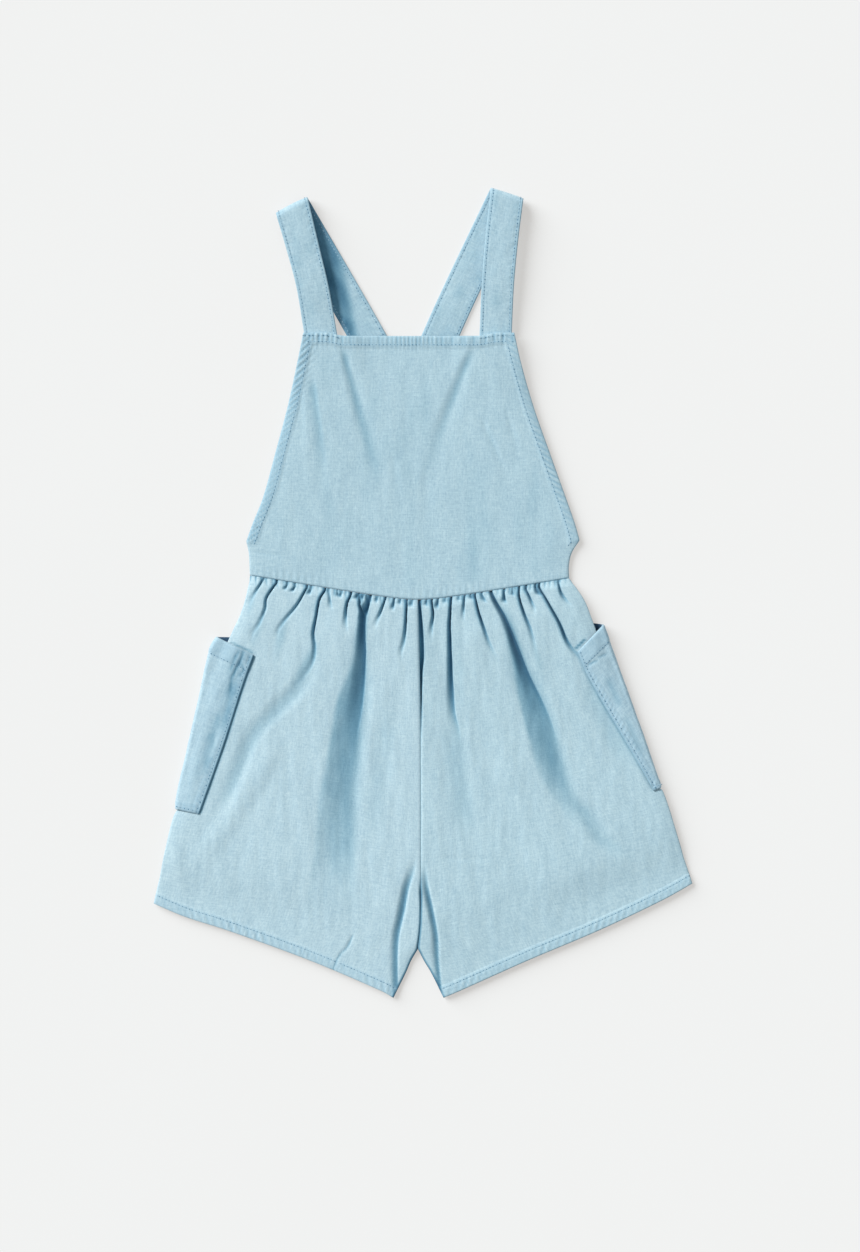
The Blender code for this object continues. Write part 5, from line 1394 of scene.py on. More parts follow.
def chambray_group():
    """Colour, roughness and height of chambray: blue warp, pale weft, slubs, mottling, bluer bands, painted
    shade in the folds and a painted shadow on the inner side.
    """
    name = "Chambray"
    if name in bpy.data.node_groups:
        return bpy.data.node_groups[name]
    tree = bpy.data.node_groups.new(name, "ShaderNodeTree")
    entry, leave = group_sockets(
        tree,
        [
            ("Cloth Colour", "NodeSocketColor", (0.45, 0.62, 0.72, 1.0)),
            ("Warp Colour", "NodeSocketColor", (0.30, 0.47, 0.62, 1.0)),
            ("Weft Colour", "NodeSocketColor", (0.70, 0.82, 0.86, 1.0)),
            ("Fold Tint", "NodeSocketColor", (0.035, 0.12, 0.18, 1.0)),
            ("Weave Contrast", "NodeSocketFloat", 0.4),
            ("Slub Contrast", "NodeSocketFloat", 0.25),
            ("Mottle Contrast", "NodeSocketFloat", 0.12),
            ("Fold Depth", "NodeSocketFloat", 0.5),
            ("Edge Depth", "NodeSocketFloat", 0.4),
            ("Inside Colour", "NodeSocketColor", (0.012, 0.06, 0.13, 1.0)),
            ("Inside Depth", "NodeSocketFloat", 0.0),
        ],
        [("Colour", "NodeSocketColor"), ("Roughness", "NodeSocketFloat"), ("Height", "NodeSocketFloat")],
    )
    cloth_map = new_node(tree, "ShaderNodeUVMap", (-1400, 500), uv_map="cloth").outputs[0]
    weave = new_node(tree, "ShaderNodeGroup", (-1100, 300), node_tree=weave_group())
    yarns = mix_colours(tree, "MIX", (-800, 300), weave.outputs["Warp On Top"], entry["Weft Colour"],
                        entry["Warp Colour"])
    colour = mix_colours(tree, "MIX", (-600, 300), entry["Weave Contrast"], entry["Cloth Colour"], yarns)
    slubs = noise_over(tree, (-1100, -100), cloth_map, 1100.0, 95.0, 2.0)
    cross_slubs = noise_over(tree, (-1100, -400), cloth_map, 95.0, 1000.0, 2.0)
    grain = noise_over(tree, (-1100, -700), cloth_map, 620.0, 420.0, 1.0)
    mottle = noise_over(tree, (-1100, -1000), cloth_map, 90.0, 34.0, 4.0)
    streaks = math_node(tree, "ADD", (-600, -200), slubs, cross_slubs)
    streaks = math_node(tree, "ADD", (-450, -300), streaks, grain)
    streaks = math_node(tree, "SUBTRACT", (-300, -200), streaks, 1.5)
    streaks = math_node(tree, "MULTIPLY", (-150, -200), streaks, entry["Slub Contrast"])
    patches = math_node(tree, "SUBTRACT", (-300, -500), mottle, 0.5)
    patches = math_node(tree, "MULTIPLY", (-150, -500), patches, entry["Mottle Contrast"])
    shade = math_node(tree, "ADD", (0, -300), streaks, patches)
    shade = math_node(tree, "ADD", (150, -300), shade, 1.0)
    red = math_node(tree, "POWER", (220, -450), shade, 1.35)
    blue = math_node(tree, "POWER", (220, -600), shade, 0.75)
    factor = new_node(tree, "ShaderNodeCombineColor", (300, -300), inputs={0: red, 1: shade, 2: blue})
    colour = mix_colours(tree, "MULTIPLY", (450, 300), 1.0, colour, factor.outputs[0])
    # Painted shade: the fold mask darkens the colour towards the tint
    painted_shade_share = math_node(tree, "MULTIPLY", (350, 700), mask(tree, (200, 700), "fold"), entry["Fold Depth"])
    painted_shade_share = math_node(tree, "POWER", (450, 700), painted_shade_share, PAINTED_SHADE_CURVE)
    painted_shade_colour = new_node(tree, "ShaderNodeGamma", (550, 600),
                        inputs={"Color": entry["Fold Tint"], "Gamma": painted_shade_share})
    # Hem bands turn bluer, with painted shade between their puckers
    band_share = math_node(tree, "MULTIPLY", (450, 900), mask(tree, (200, 900), "band"), entry["Edge Depth"])
    colour = mix_colours(tree, "MULTIPLY", (650, 300), 1.0, colour, painted_shade_colour.outputs["Color"])
    colour = mix_colours(tree, "MIX", (850, 300), band_share, colour, entry["Warp Colour"])
    # Painted shadow on the inner side of the cloth
    inside = math_node(tree, "MULTIPLY", (850, 900), mask(tree, (650, 900), "inside"), entry["Inside Depth"])
    colour = mix_colours(tree, "MIX", (1050, 300), inside, colour, entry["Inside Colour"])
    put(tree, leave["Colour"], colour)
    put(tree, leave["Roughness"], math_node(tree, "MULTIPLY_ADD", (850, 0), grain, 0.2, 0.78))
    yarn_height = math_node(tree, "MULTIPLY_ADD", (650, 0), streaks, 1.2, weave.outputs["Height"])
    put(tree, leave["Height"], yarn_height)
    return tree


def new_material(name):
    """A material, its node tree and its shader's inputs."""
    material = bpy.data.materials.new(name)
    material.use_nodes = True
    return material, material.node_tree, material.node_tree.nodes["Principled BSDF"].inputs


def toned(colour, tone):
    """A colour with alpha whose parts are multiplied by a tone's, none over 1."""
    return (*(min(1.0, part * share) for part, share in zip(colour, tone)), 1.0)


def chambray(name, settings, tone, inside_shadow_depth=0.0):
    """A chambray material: its group gives colour, roughness and height, and it holds the shader."""
    if name in bpy.data.materials:
        return bpy.data.materials[name]
    material, tree, shader = new_material(name)
    group = new_node(tree, "ShaderNodeGroup", (-500, 200), node_tree=chambray_group(), inputs={
        "Cloth Colour": toned(settings.cloth_colour, tone),
        "Warp Colour": toned(settings.warp_colour, tone),
        "Weft Colour": (*settings.weft_colour, 1.0),
        "Fold Tint": (*settings.fold_tint, 1.0),
        "Weave Contrast": settings.weave_contrast,
        "Slub Contrast": settings.slub_contrast,
        "Mottle Contrast": settings.mottle_contrast,
        "Fold Depth": settings.fold_depth,
        "Edge Depth": settings.edge_depth,
        "Inside Depth": inside_shadow_depth,
    })
    bump = new_node(tree, "ShaderNodeBump", (-250, -100),
                    inputs={"Strength": 0.5, "Distance": 0.00008, "Height": group.outputs["Height"]})
    put(tree, shader["Normal"], bump.outputs["Normal"])
    put(tree, shader["Base Color"], group.outputs["Colour"])
    put(tree, shader["Roughness"], group.outputs["Roughness"])
    put(tree, shader["Specular IOR Level"], 0.15)
    put(tree, shader["Sheen Weight"], settings.sheen)
    put(tree, shader["Sheen Roughness"], 0.6)
    return material


def plain_thread(name, colour, roughness):
    """A soft thread, a little uneven along its length."""
    if name in bpy.data.materials:
        return bpy.data.materials[name]
    material, tree, shader = new_material(name)
    shade = math_node(tree, "MULTIPLY_ADD", (-500, 0), noise_in_place(tree, 700.0), 0.3, 0.85)
    grey = new_node(tree, "ShaderNodeCombineColor", (-350, 0), inputs={0: shade, 1: shade, 2: shade})
    tinted = mix_colours(tree, "MULTIPLY", (-200, 0), 1.0, (*colour, 1.0), grey.outputs[0])
    put(tree, shader["Base Color"], tinted)
    put(tree, shader["Roughness"], roughness)
    put(tree, shader["Sheen Weight"], 0.2)
    return material


def on_grid(grid, rows, columns):
    """Points of a grid at rows and columns that may fall between its own."""
    rows = np.clip(rows, 0.0, grid.shape[0] - 1.001)
    columns = np.clip(columns, 0.0, grid.shape[1] - 1.001)
    row = rows.astype(int)
    column = columns.astype(int)
    down = (rows - row)[:, None]
    across = (columns - column)[:, None]
    above = mix(grid[row, column], grid[row, column + 1], across)
    below = mix(grid[row + 1, column], grid[row + 1, column + 1], across)
    return mix(above, below, down)


def column_at(distances, inset, from_end=False):
    """For each row, the column at which a distance measured along the row reaches an inset."""
    columns = np.arange(distances.shape[1], dtype=float)
    found = []
    for row in distances:
        if from_end:
            found.append(np.interp(inset, row[::-1], columns[::-1]))
        else:
            found.append(np.interp(inset, row, columns))
    return np.array(found)


def stitch_tree():
    """Geometry Nodes that lay threads, and dark dents painted as the shade in the needle holes, along lines
    on the cloth.
    """
    name = "Stitch Rows"
    if name in bpy.data.node_groups:
        return bpy.data.node_groups[name]
    tree = bpy.data.node_groups.new(name, "GeometryNodeTree")
    entry, leave = group_sockets(
        tree,
        [
            ("Geometry", "NodeSocketGeometry", None),
            ("Pitch", "NodeSocketFloat", 0.00286),
            ("Thread Length", "NodeSocketFloat", 0.0021),
            ("Thread Radius", "NodeSocketFloat", 0.0003),
            ("Hole Radius", "NodeSocketFloat", 0.00042),
            ("Unevenness", "NodeSocketFloat", 0.16),
            ("Seed", "NodeSocketInt", 4),
            ("Thread Material", "NodeSocketMaterial", None),
            ("Hole Material", "NodeSocketMaterial", None),
        ],
        [("Geometry", "NodeSocketGeometry")],
    )
    curve = new_node(tree, "GeometryNodeMeshToCurve", (-1000, 200), inputs={"Mesh": entry["Geometry"]})
    points = new_node(tree, "GeometryNodeCurveToPoints", (-800, 200), mode="LENGTH",
                      inputs={"Curve": curve.outputs["Curve"], "Length": entry["Pitch"]})
    turn = new_node(tree, "FunctionNodeAlignRotationToVector", (-600, 0), axis="X",
                    inputs={"Vector": points.outputs["Tangent"]})
    low = math_node(tree, "SUBTRACT", (-800, -300), 1.0, entry["Unevenness"])
    high = math_node(tree, "ADD", (-800, -450), 1.0, entry["Unevenness"])
    size = new_node(tree, "FunctionNodeRandomValue", (-600, -300), data_type="FLOAT",
                    inputs={2: low, 3: high, "Seed": entry["Seed"]})
    half = math_node(tree, "MULTIPLY", (-800, 600), entry["Thread Length"], 0.5)
    flat = math_node(tree, "MULTIPLY", (-800, 800), entry["Thread Radius"], 0.8)
    shallow = math_node(tree, "MULTIPLY", (-800, 1200), entry["Hole Radius"], 0.5)
    offset = math_node(tree, "MULTIPLY", (-800, 1400), entry["Pitch"], 0.5)
    join = new_node(tree, "GeometryNodeJoinGeometry", (800, 0))
    for label, rings, sizes, shift, height in (
            ("Thread Material", 5, (half, entry["Thread Radius"], flat), 0.0, 300),
            ("Hole Material", 4, (entry["Hole Radius"], entry["Hole Radius"], shallow), offset, 800)):
        ball = new_node(tree, "GeometryNodeMeshUVSphere", (-600, height),
                        inputs={"Segments": 6, "Rings": rings, "Radius": 1.0})
        scale = new_node(tree, "ShaderNodeCombineXYZ", (-600, height + 150), inputs=dict(enumerate(sizes)))
        place = new_node(tree, "ShaderNodeCombineXYZ", (-600, height + 300), inputs={0: shift})
        shaped = new_node(tree, "GeometryNodeTransform", (-400, height),
                          inputs={"Geometry": ball.outputs["Mesh"], "Scale": scale.outputs[0],
                                  "Translation": place.outputs[0]})
        laid = new_node(tree, "GeometryNodeInstanceOnPoints", (0, height),
                        inputs={"Points": points.outputs["Points"], "Instance": shaped.outputs["Geometry"],
                                "Rotation": turn.outputs["Rotation"], "Scale": size.outputs[1]})
        real = new_node(tree, "GeometryNodeRealizeInstances", (300, height),
                        inputs={"Geometry": laid.outputs["Instances"]})
        painted = new_node(tree, "GeometryNodeSetMaterial", (550, height),
                           inputs={"Geometry": real.outputs["Geometry"], "Material": entry[label]})
        put(tree, join.inputs["Geometry"], painted.outputs["Geometry"])
    smooth = new_node(tree, "GeometryNodeSetShadeSmooth", (1100, 0),
                      inputs={"Geometry": join.outputs["Geometry"]})
    put(tree, leave["Geometry"], smooth.outputs["Geometry"])
    return tree


def make_stitches(name, lines, settings):
    """Sew rows of stitches along lines of points, given in millimetres, as one plain mesh."""
    points = []
    edges = []
    for line in lines:
        start = len(points)
        points.extend(((np.asarray(line) + np.array((0.0, SHIFT_Y, 0.0))) * MM).tolist())
        edges.extend((number, number + 1) for number in range(start, len(points) - 1))
    route = bpy.data.meshes.new(name + "_route")
    route.from_pydata(points, edges, [])
    piece = add_object(name, route)
    tree = stitch_tree()
    modifier = piece.modifiers.new("Stitches", "NODES")
    modifier.node_group = tree
    values = {
        "Pitch": settings.stitch_pitch,
        "Thread Length": settings.thread_length,
        "Thread Radius": settings.thread_radius,
        "Hole Radius": settings.hole_radius,
        "Seed": settings.seed,
        "Thread Material": plain_thread("Stitch Thread", settings.thread_colour, 0.7),
        # The needle holes are dark dents painted as the shade in each hole
        "Hole Material": plain_thread("Needle Holes", settings.hole_shade_colour, 0.95),
    }
    for item in tree.interface.items_tree:
        if item.in_out == "INPUT" and item.name in values:
            modifier[item.identifier] = values[item.name]
    bpy.context.view_layer.update()
    evaluated = piece.evaluated_get(bpy.context.evaluated_depsgraph_get())
    sewn = bpy.data.meshes.new_from_object(evaluated)
    piece.modifiers.clear()
    piece.data = sewn
    sewn.name = name
    bpy.data.meshes.remove(route)
    if not sewn.polygons:
        raise RuntimeError("No stitches were made for " + name)
    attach(piece, "root")
    return piece


def cloth_area(grid):
    """Area in square metres of a grid of points in millimetres, flat where they have no height."""
    if grid.shape[2] == 2:
        grid = np.concatenate([grid, np.zeros(grid.shape[:2] + (1,))], axis=2)
    along = np.diff(grid, axis=0)[:, :-1]
    across = np.diff(grid, axis=1)[:-1]
    return float(np.linalg.norm(np.cross(along, across), axis=2).sum()) * MM * MM


def finish_cloth(piece, node, area):
    """Attach a piece of cloth to its body and hide the solid it stands for. The area of its cut is not used.
    """
    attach(piece, "root")
    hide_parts(node)


def make_bib(settings):
    """The bib and its stitches along the top, the armholes and the strap ends."""
    across = np.broadcast_to(np.linspace(0.0, 1.0, BIB_COLUMNS + 1)[None, :], (BIB_ROWS + 1, BIB_COLUMNS + 1))
    down = np.broadcast_to(np.linspace(0.0, 1.0, BIB_ROWS + 1)[:, None], across.shape)
    x, y, low, top, band_tone_and_shade, shade = bib_surface(across, down)
    upper = np.stack([x, y, top], axis=2)
    lower = np.stack([x, y, np.minimum(low, top - THINNEST_WALL)], axis=2)
    cloth_map = np.stack([x, y], axis=2)
    piece = make_shell("cloth_bib", upper, lower, cloth_map, {"band": band_tone_and_shade, "fold": shade},
                       chambray("Bib Chambray", settings, BIB_TONE))
    finish_cloth(piece, "bib_front", cloth_area(cloth_map))
    rows = np.arange(BIB_ROWS + 1, dtype=float)
    width = x[:, -1] - x[:, 0]
    lines = []
    corner = y[:, 0] > ARMHOLE_EDGES[-1][0]
    inset_rows = rows[corner & (bib_top_y(x[:, 0]) - y[:, 0] > STITCH_INSET)]
    for end in (0.0, 1.0):
        share = STITCH_INSET / width[inset_rows.astype(int)]
        columns = np.abs(end - share) * BIB_COLUMNS
        lines.append(on_grid(upper, inset_rows, columns))
    columns = np.arange(4.0, BIB_COLUMNS - 3.0)
    drop = upper[0, :, 1] - upper[-1, :, 1]
    lines.append(on_grid(upper, STITCH_INSET / drop[columns.astype(int)] * BIB_ROWS, columns))
    for table in (LEFT_STRAP_FRONT, RIGHT_STRAP_FRONT):
        first, last = ((place - x[0, 0]) / width[0] * BIB_COLUMNS for place in (table[1][0], table[1][2]))
        columns = np.arange(first, last)
        row = BIB_END_STITCH_INSET / drop[columns.astype(int)] * BIB_ROWS
        lines.append(on_grid(upper, row, columns))
    stitches = make_stitches("stitches_bib", lines, settings)
    return [piece, stitches]


def make_straps(settings):
    """Both straps, with stitches along both edges of the parts that show."""
    pieces = []
    lines = []
    for side in ("left", "right"):
        upper, lower, band, shade, across, along = strap_grids(side)
        cloth_map = np.stack([across, along], axis=2)
        material = chambray("Strap Chambray", settings, STRAP_TONE)
        piece = make_shell("cloth_strap_" + side, upper, lower, cloth_map,
                           {"band": 0.5 * band, "fold": shade}, material)
        length = float(along.max()) * MM
        flat = (STRAP_WIDTH * MM, length)
        finish_cloth(piece, "strap_" + side, flat[0] * flat[1])
        pieces.append(piece)
        inset = EDGE_STITCH_INSET / STRAP_WIDTH * STRAP_COLUMNS
        turn = STRAP_FRONT_ROWS + STRAP_TURN_STEPS // 2
        front_rows = np.arange(6.0, turn - 2.0)
        back_rows = np.arange(turn + 2.0, upper.shape[0] - 1.0)
        for column in (inset, STRAP_COLUMNS - inset):
            lines.append(on_grid(lower, front_rows, np.full(front_rows.shape, column)))
            lines.append(on_grid(upper, back_rows, np.full(back_rows.shape, column)))
    pieces.append(make_stitches("stitches_straps", lines, settings))
    return pieces


def make_front_legs(settings):
    """Both front leg panels, gathered into the waist seam, with their hem stitches."""
    pieces = []
    lines = []
    for side in ("left", "right"):
        leg = Leg(side)
        u, v = leg_rows(leg, LEG_COLUMNS)
        x, y, low, top, shade, band_tone_and_shade = leg.surface(u, v)
        upper = np.stack([x, y, top], axis=2)
        lower = np.stack([x, y, low], axis=2)
        cloth_map = np.stack([u * LEG_FLAT_WIDTH, -v * leg.length(u)], axis=2)
        tone = LEFT_LEG_TONE if side == "left" else RIGHT_LEG_TONE
        piece = make_shell("cloth_front_leg_" + side, upper, lower, cloth_map,
                           {"band": band_tone_and_shade, "fold": np.clip(shade, 0.0, 1.0)},
                           chambray(side.title() + " Leg Chambray", settings, tone))
        finish_cloth(piece, "front_leg_" + side, cloth_area(cloth_map))
        pieces.append(piece)
        columns = np.arange(2.0, LEG_COLUMNS - 1.0)
        hem_row = upper.shape[0] - 1.0 - STITCH_INSET / HEM_ROW_STEP
        lines.append(on_grid(upper, np.full(columns.shape, hem_row), columns))
    pieces.append(make_stitches("stitches_legs", lines, settings))
    return pieces


def leg_top_tree(side):
    """The top of a front leg panel, to lay a pocket on, in millimetres."""
    leg = Leg(side)
    u, v = leg_rows(leg, LEG_COLUMNS)
    x, y, _, top, _, _ = leg.surface(u, v)
    points = np.stack([x, y, top], axis=2)
    faces = grid_faces(points.shape[0], points.shape[1], False)
    return BVHTree.FromPolygons(points.reshape(-1, 3).tolist(), faces.tolist())


def make_pockets(settings):
    """Both patch pockets, wrapped round the side folds, with their stitches."""
    pieces = []
    lines = []
    for side in ("left", "right"):
        leg = Leg(side)
        upper, lower, band_tone_and_shade, shade, from_front, down = pocket_grids(leg, leg_top_tree(side))
        cloth_map = np.stack([from_front, -down], axis=2)
        piece = make_shell("cloth_pocket_" + side, upper, lower, cloth_map, {"band": band_tone_and_shade, "fold": shade},
                           chambray("Pocket Chambray", settings, POCKET_TONE, POCKET_INSIDE_SHADOW))
        length = float(np.linalg.norm(np.array(leg.fold[-1]) - np.array(leg.fold[0])))
        flat = (POCKET_WIDTH * MM, length * MM)
        finish_cloth(piece, "pocket_" + side, flat[0] * flat[1])
        pieces.append(piece)
        rows = np.arange(upper.shape[0], dtype=float)
        edge_columns = column_at(from_front, EDGE_STITCH_INSET, leg.outer_is_left)
        edge_rows = rows[1:-2]
        lines.append(on_grid(upper, edge_rows, edge_columns[1:-2]))
        first_column = column_at(from_front, 1.0, leg.outer_is_left)
        reach = FRONT_POCKET_STITCH_REACH * POCKET_FRONT_COLUMNS
        steps = np.arange(1.0, reach)
        for inset in (POCKET_HEM, length - EDGE_STITCH_INSET):
            row = inset / length * POCKET_ROWS
            start = first_column[int(row)]
            columns = start - steps if leg.outer_is_left else start + steps
            lines.append(on_grid(upper, np.full(columns.shape, row), columns))
    pieces.append(make_stitches("stitches_pockets", lines, settings))
    return pieces


def back_leg_surface(leg):
    """Lower and upper side of a back leg panel, which lies flat but for the pocket under it."""
    u, v = np.meshgrid(np.linspace(0.0, 1.0, BACK_LEG_COLUMNS + 1),
                       np.linspace(0.0, 1.0, BACK_LEG_ROWS + 1))
    x, y = leg.place(u, v, BACK_INSET)
    low = pocket_back_lift(x, y, leg.fold, leg.front)
    waves = 0.12 * cloud(x, y, 22.0, 40.0, leg.seed + 11.0)
    edge = np.minimum(u, 1.0 - u) * leg.width(v)
    top = low + CLOTH + (waves - 0.12) * ease(2.0, 20.0, edge)
    cloth_map = np.stack([u * LEG_FLAT_WIDTH, -v * leg.length(u)], axis=2)
    return np.stack([x, y, top], axis=2), np.stack([x, y, low], axis=2), cloth_map


def make_back(settings):
    """The back waist panel and both back leg panels."""
    pieces = []
    material = chambray("Back Chambray", settings, BACK_TONE)
    across, down = np.meshgrid(np.linspace(0.0, 1.0, BACK_WAIST_COLUMNS + 1),
                               np.linspace(0.0, 1.0, BACK_WAIST_ROWS + 1))
    top_y = BACK_WAIST_TOP_Y
    left_y = mix(top_y, waist_y(SIDE_SEAMS[-1][1]), down)
    right_y = mix(top_y, waist_y(SIDE_SEAMS[-1][2]), down)
    left = table_x(SIDE_SEAMS, left_y, 1) + BACK_INSET
    right = table_x(SIDE_SEAMS, right_y, 2) - BACK_INSET
    x = mix(left, right, across)
    y = mix(top_y, waist_y(x) + SEAM_GAP / 2.0, down)
    ripple = BACK_RIPPLE * uneven_wave(x, BACK_RIPPLE_PITCH, 2.2)
    ripple = ripple * ease(0.0, 6.0, x - left) * ease(0.0, 6.0, right - x)
    upper = np.stack([x, y, CLOTH - BACK_RIPPLE + ripple], axis=2)
    lower = np.stack([x, y, 0.0 * x], axis=2)
    piece = make_shell("cloth_back_waist", upper, lower, np.stack([x, y], axis=2),
                       {"band": 0.0 * x, "fold": 0.0 * x}, material)
    flat = (BACK_WAIST_FLAT_WIDTH * MM, BACK_WAIST_FLAT_LENGTH * MM)
    finish_cloth(piece, "back_waist", flat[0] * flat[1])
    pieces.append(piece)
    for side in ("left", "right"):
        upper, lower, cloth_map = back_leg_surface(Leg(side))
        none = np.zeros(upper.shape[:2])
        piece = make_shell("cloth_back_leg_" + side, upper, lower, cloth_map,
                           {"band": none, "fold": none}, material)
        flat = (LEG_FLAT_WIDTH * MM, LEG_LENGTH_INNER * MM)
        finish_cloth(piece, "back_leg_" + side, cloth_area(upper))
        pieces.append(piece)
    return pieces


def add_sun(name, strength, elevation, softness):
    """Daylight from the upper left at a height over the table."""
    light = bpy.data.lights.new(name, "SUN")
    light.energy = strength
    light.angle = softness
    light.color = DAYLIGHT_COLOUR
    sun = add_object(name, light)
    way = Vector((SUN_WAY[0], SUN_WAY[1], -math.tan(elevation)))
    sun.rotation_euler = way.to_track_quat("-Z", "Y").to_euler()
    return sun


def make_table(settings):
    """The pale table under the garment."""
    half = FLOOR_SIZE * MM / 2.0
    mesh = bpy.data.meshes.new("floor")
    mesh.from_pydata([(-half, -half, 0.0), (half, -half, 0.0), (half, half, 0.0), (-half, half, 0.0)], [],
                     [(0, 1, 2, 3)])
    floor = add_object("floor", mesh)
    material, tree, shader = new_material("Pale Table")
    low_shade = settings.floor_shade - TABLE_MOTTLE / 2.0
    shade = math_node(tree, "MULTIPLY_ADD", (-500, 0), noise_in_place(tree, 3.0), TABLE_MOTTLE, low_shade)
    combined = new_node(tree, "ShaderNodeCombineColor", (-300, 0))
    for index, tint in enumerate(TABLE_TINT):
        put(tree, combined.inputs[index], math_node(tree, "MULTIPLY", (-400, -150 * index), shade, tint))
    put(tree, shader["Base Color"], combined.outputs[0])
    put(tree, shader["Roughness"], 0.9)
    put(tree, shader["Specular IOR Level"], 0.0)
    put(tree, shader["Emission Color"], (*TABLE_GLOW_TINT, 1.0))
    put(tree, shader["Emission Strength"], settings.floor_glow)
    mesh.materials.append(material)
    return floor


def make_daylight(settings, floor):
    """One soft light for the cloth, another that grazes the table alone, and light from all round."""
    cloth_sun = add_sun("daylight", settings.sun_strength, settings.sun_elevation, settings.sun_angle)
    low_sun = add_sun("table_daylight", settings.low_strength, settings.low_elevation, settings.low_angle)
    for sun, name, state in ((cloth_sun, "all but the table", "EXCLUDE"), (low_sun, "table only", "INCLUDE")):
        receivers = bpy.data.collections.new(name)
        receivers.objects.link(floor)
        receivers.collection_objects[0].light_linking.link_state = state
        sun.light_linking.receiver_collection = receivers
    world = bpy.data.worlds.new("studio")
    world.use_nodes = True
    background = world.node_tree.nodes["Background"]
    background.inputs["Color"].default_value = FILL_COLOUR
    background.inputs["Strength"].default_value = settings.fill_strength
    bpy.context.scene.world = world


def make_camera():
    """The camera straight above, and its plain view transform."""
    scene = bpy.context.scene
    film = bpy.data.cameras.new("camera")
    film.type = "PERSP"
    film.lens = CAMERA_LENS
    film.sensor_fit = "VERTICAL"
    film.sensor_height = FILM_HEIGHT
    film.clip_end = 20.0
    film.dof.use_dof = False
    camera = add_object("camera", film)
    camera.location = Vector(CAMERA_PLACE) * MM
    scene.camera = camera
    scene.view_settings.view_transform = "Standard"
    scene.view_settings.look = "None"
    return camera


def make_stage(settings):
    """The pale table, the soft daylight and the camera."""
    make_daylight(settings, make_table(settings))
    return make_camera()


def colour_property(name, description, default):
    """A colour that can be picked."""
    return bpy.props.FloatVectorProperty(name=name, description=description, default=default, subtype="COLOR",
                                         size=3, min=0.0, max=1.0)


def share_property(name, description, default):
    """A number from 0 to 1."""
    return bpy.props.FloatProperty(name=name, description=description, default=default, min=0.0, max=1.0)


def strength_property(name, description, default):
    """The strength of a light."""
    return bpy.props.FloatProperty(name=name, description=description, default=default, min=0.0)


def length_property(name, description, default, low, high):
    """A small length in metres."""
    return bpy.props.FloatProperty(name=name, description=description, default=default, min=low, max=high,
                                   unit="LENGTH", precision=5)


def angle_property(name, description, degrees, low, high):
    """An angle, its default in degrees and its limits in radians."""
    return bpy.props.FloatProperty(name=name, description=description, default=math.radians(degrees),
                                   min=low, max=high, subtype="ANGLE", unit="ROTATION")


class PLAYSUIT_PG_cloth(bpy.types.PropertyGroup):
    """Colours and textures of the cloth."""

    cloth_colour: colour_property("Cloth", "Overall colour of the chambray", (0.478, 0.640, 0.722))
    warp_colour: colour_property("Warp", "Colour of the blue yarns, stronger in hem bands",
                                 (0.29, 0.49, 0.63))
    weft_colour: colour_property("Weft", "Colour of the pale yarns", (0.62, 0.76, 0.81))
    # Painted shade: the share of the cloth's colour left where the fold mask is full
    fold_tint: colour_property("Fold tint", "Share of the cloth's colour left deep in the gathers",
                               (0.045, 0.145, 0.235))
    weave_contrast: share_property("Weave", "How much blue warp and pale weft differ", 0.36)
    slub_contrast: share_property("Slubs", "How much thick and thin yarns differ in shade", 0.26)
    mottle_contrast: share_property("Mottling", "How much washing has mottled the cloth", 0.16)
    # How strongly the fold mask paints shade
    fold_depth: share_property("Fold shade", "How much the gathers darken", 0.9)
    # The band mask holds the hems' bluer tone and painted shade between their puckers
    edge_depth: share_property("Hem shade", "How much bluer the turned hems are", 0.6)
    sheen: share_property("Sheen", "Soft light caught by loose fibres", 0.25)


class PLAYSUIT_PG_stitches(bpy.types.PropertyGroup):
    """Sizes and colours of the stitching."""

    stitch_pitch: length_property("Pitch", "Length of one stitch", 0.00286, 0.001, 0.01)
    thread_length: length_property("Thread length", "Length of thread that shows in each stitch", 0.0020,
                                   0.0005, 0.01)
    thread_radius: length_property("Thread radius", "Half the thickness of the thread", 0.00028,
                                   0.0001, 0.002)
    hole_radius: length_property("Hole radius", "Half the width of a needle hole", 0.0005, 0.0001, 0.002)
    thread_colour: colour_property("Thread", "Colour of the thread", (0.36, 0.54, 0.66))
    # Painted shade in the needle holes
    hole_shade_colour: colour_property("Holes", "Colour of the needle holes", (0.10, 0.24, 0.37))
    seed: bpy.props.IntProperty(
        name="Seed", description="Fixes the unevenness of the stitches", default=4, min=0)


class PLAYSUIT_PG_stage(bpy.types.PropertyGroup):
    """Light and table."""

    sun_strength: strength_property("Daylight", "Strength of the light from the upper left", 3.35)
    sun_elevation: angle_property("Elevation", "Height of the light over the table", 34.0, 0.1, 1.5)
    sun_angle: angle_property("Softness", "Width of the light seen from the table", 15.0, 0.0, 3.0)
    low_strength: strength_property("Table light", "Strength of the grazing light on the table alone", 7.7)
    low_elevation: angle_property("Low elevation", "Height of the grazing light", 24.5, 0.05, 1.5)
    low_angle: angle_property("Low softness", "Width of the grazing light", 49.0, 0.0, 3.0)
    fill_strength: strength_property("Fill", "Strength of the light from all round", 0.44)
    floor_shade: share_property("Table shade", "How much light the table returns", 0.30)
    floor_glow: share_property("Table glow", "Light of the bright backdrop itself", 0.50)


class Settings:
    """The properties of all three groups read as one."""

    def __init__(self, scene):
        self.groups = [getattr(scene, group_name) for group_name, _ in GROUPS]

    def __getattr__(self, name):
        for group in self.groups:
            if hasattr(group, name):
                return getattr(group, name)
        raise AttributeError(name)


class PlaysuitStep:
    """What every step's operator shares: it runs its maker with the settings."""

    bl_options = {"REGISTER", "UNDO"}

    def execute(self, context):
        if not self.make(Settings(context.scene)):
            raise RuntimeError(self.bl_label + " made nothing")
        return {"FINISHED"}


class PLAYSUIT_OT_stage(PlaysuitStep, bpy.types.Operator):
    """Lay out the table, the light and the camera"""

    bl_idname = "playsuit.stage"
    bl_label = "Make the Stage"
    make = staticmethod(make_stage)


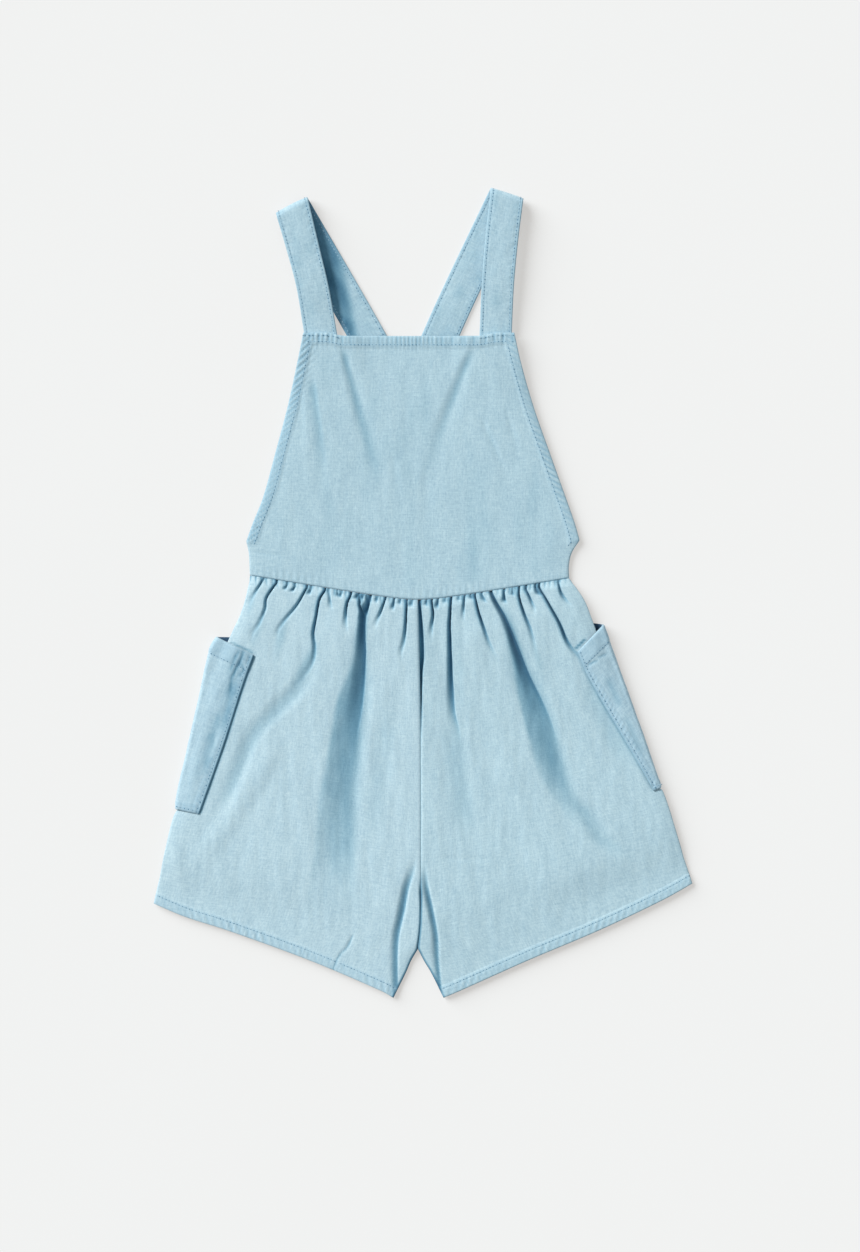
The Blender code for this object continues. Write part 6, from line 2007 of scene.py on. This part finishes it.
class PLAYSUIT_OT_back(PlaysuitStep, bpy.types.Operator):
    """Make the back waist panel and the back leg panels"""

    bl_idname = "playsuit.back"
    bl_label = "Make the Back"
    make = staticmethod(make_back)


class PLAYSUIT_OT_straps(PlaysuitStep, bpy.types.Operator):
    """Make the straps that cross on the back"""

    bl_idname = "playsuit.straps"
    bl_label = "Make the Straps"
    make = staticmethod(make_straps)


class PLAYSUIT_OT_front_legs(PlaysuitStep, bpy.types.Operator):
    """Make the gathered front leg panels"""

    bl_idname = "playsuit.front_legs"
    bl_label = "Make the Front Legs"
    make = staticmethod(make_front_legs)


class PLAYSUIT_OT_pockets(PlaysuitStep, bpy.types.Operator):
    """Make the patch pockets round the side folds"""

    bl_idname = "playsuit.pockets"
    bl_label = "Make the Pockets"
    make = staticmethod(make_pockets)


class PLAYSUIT_OT_bib(PlaysuitStep, bpy.types.Operator):
    """Make the bib with its stitched edges"""

    bl_idname = "playsuit.bib"
    bl_label = "Make the Bib"
    make = staticmethod(make_bib)


class PLAYSUIT_PT_panel(bpy.types.Panel):
    """The playsuit's steps and settings"""

    bl_idname = "PLAYSUIT_PT_panel"
    bl_label = "Chambray Playsuit"
    bl_space_type = "VIEW_3D"
    bl_region_type = "UI"
    bl_category = "Playsuit"

    def draw(self, context):
        layout = self.layout
        for step in STEPS:
            layout.operator(step.bl_idname)
        for group_name, _ in GROUPS:
            group = getattr(context.scene, group_name)
            box = layout.box()
            for name in group.bl_rna.properties.keys():
                if name not in ("rna_type", "name"):
                    box.prop(group, name)


STEPS = (
    PLAYSUIT_OT_stage, PLAYSUIT_OT_back, PLAYSUIT_OT_straps, PLAYSUIT_OT_front_legs, PLAYSUIT_OT_pockets,
    PLAYSUIT_OT_bib,
)
GROUPS = (
    ("playsuit_cloth", PLAYSUIT_PG_cloth),
    ("playsuit_stitches", PLAYSUIT_PG_stitches),
    ("playsuit_stage", PLAYSUIT_PG_stage),
)


def register():
    for name, group in GROUPS:
        bpy.utils.register_class(group)
        setattr(bpy.types.Scene, name, bpy.props.PointerProperty(type=group))
    for step in STEPS:
        bpy.utils.register_class(step)
    bpy.utils.register_class(PLAYSUIT_PT_panel)


def unregister():
    bpy.utils.unregister_class(PLAYSUIT_PT_panel)
    for step in reversed(STEPS):
        bpy.utils.unregister_class(step)
    for name, group in reversed(GROUPS):
        delattr(bpy.types.Scene, name)
        bpy.utils.unregister_class(group)


def main():
    register()
    for step in STEPS:
        group, action = step.bl_idname.split(".")
        getattr(getattr(bpy.ops, group), action)()


if __name__ == "__main__":
    main()
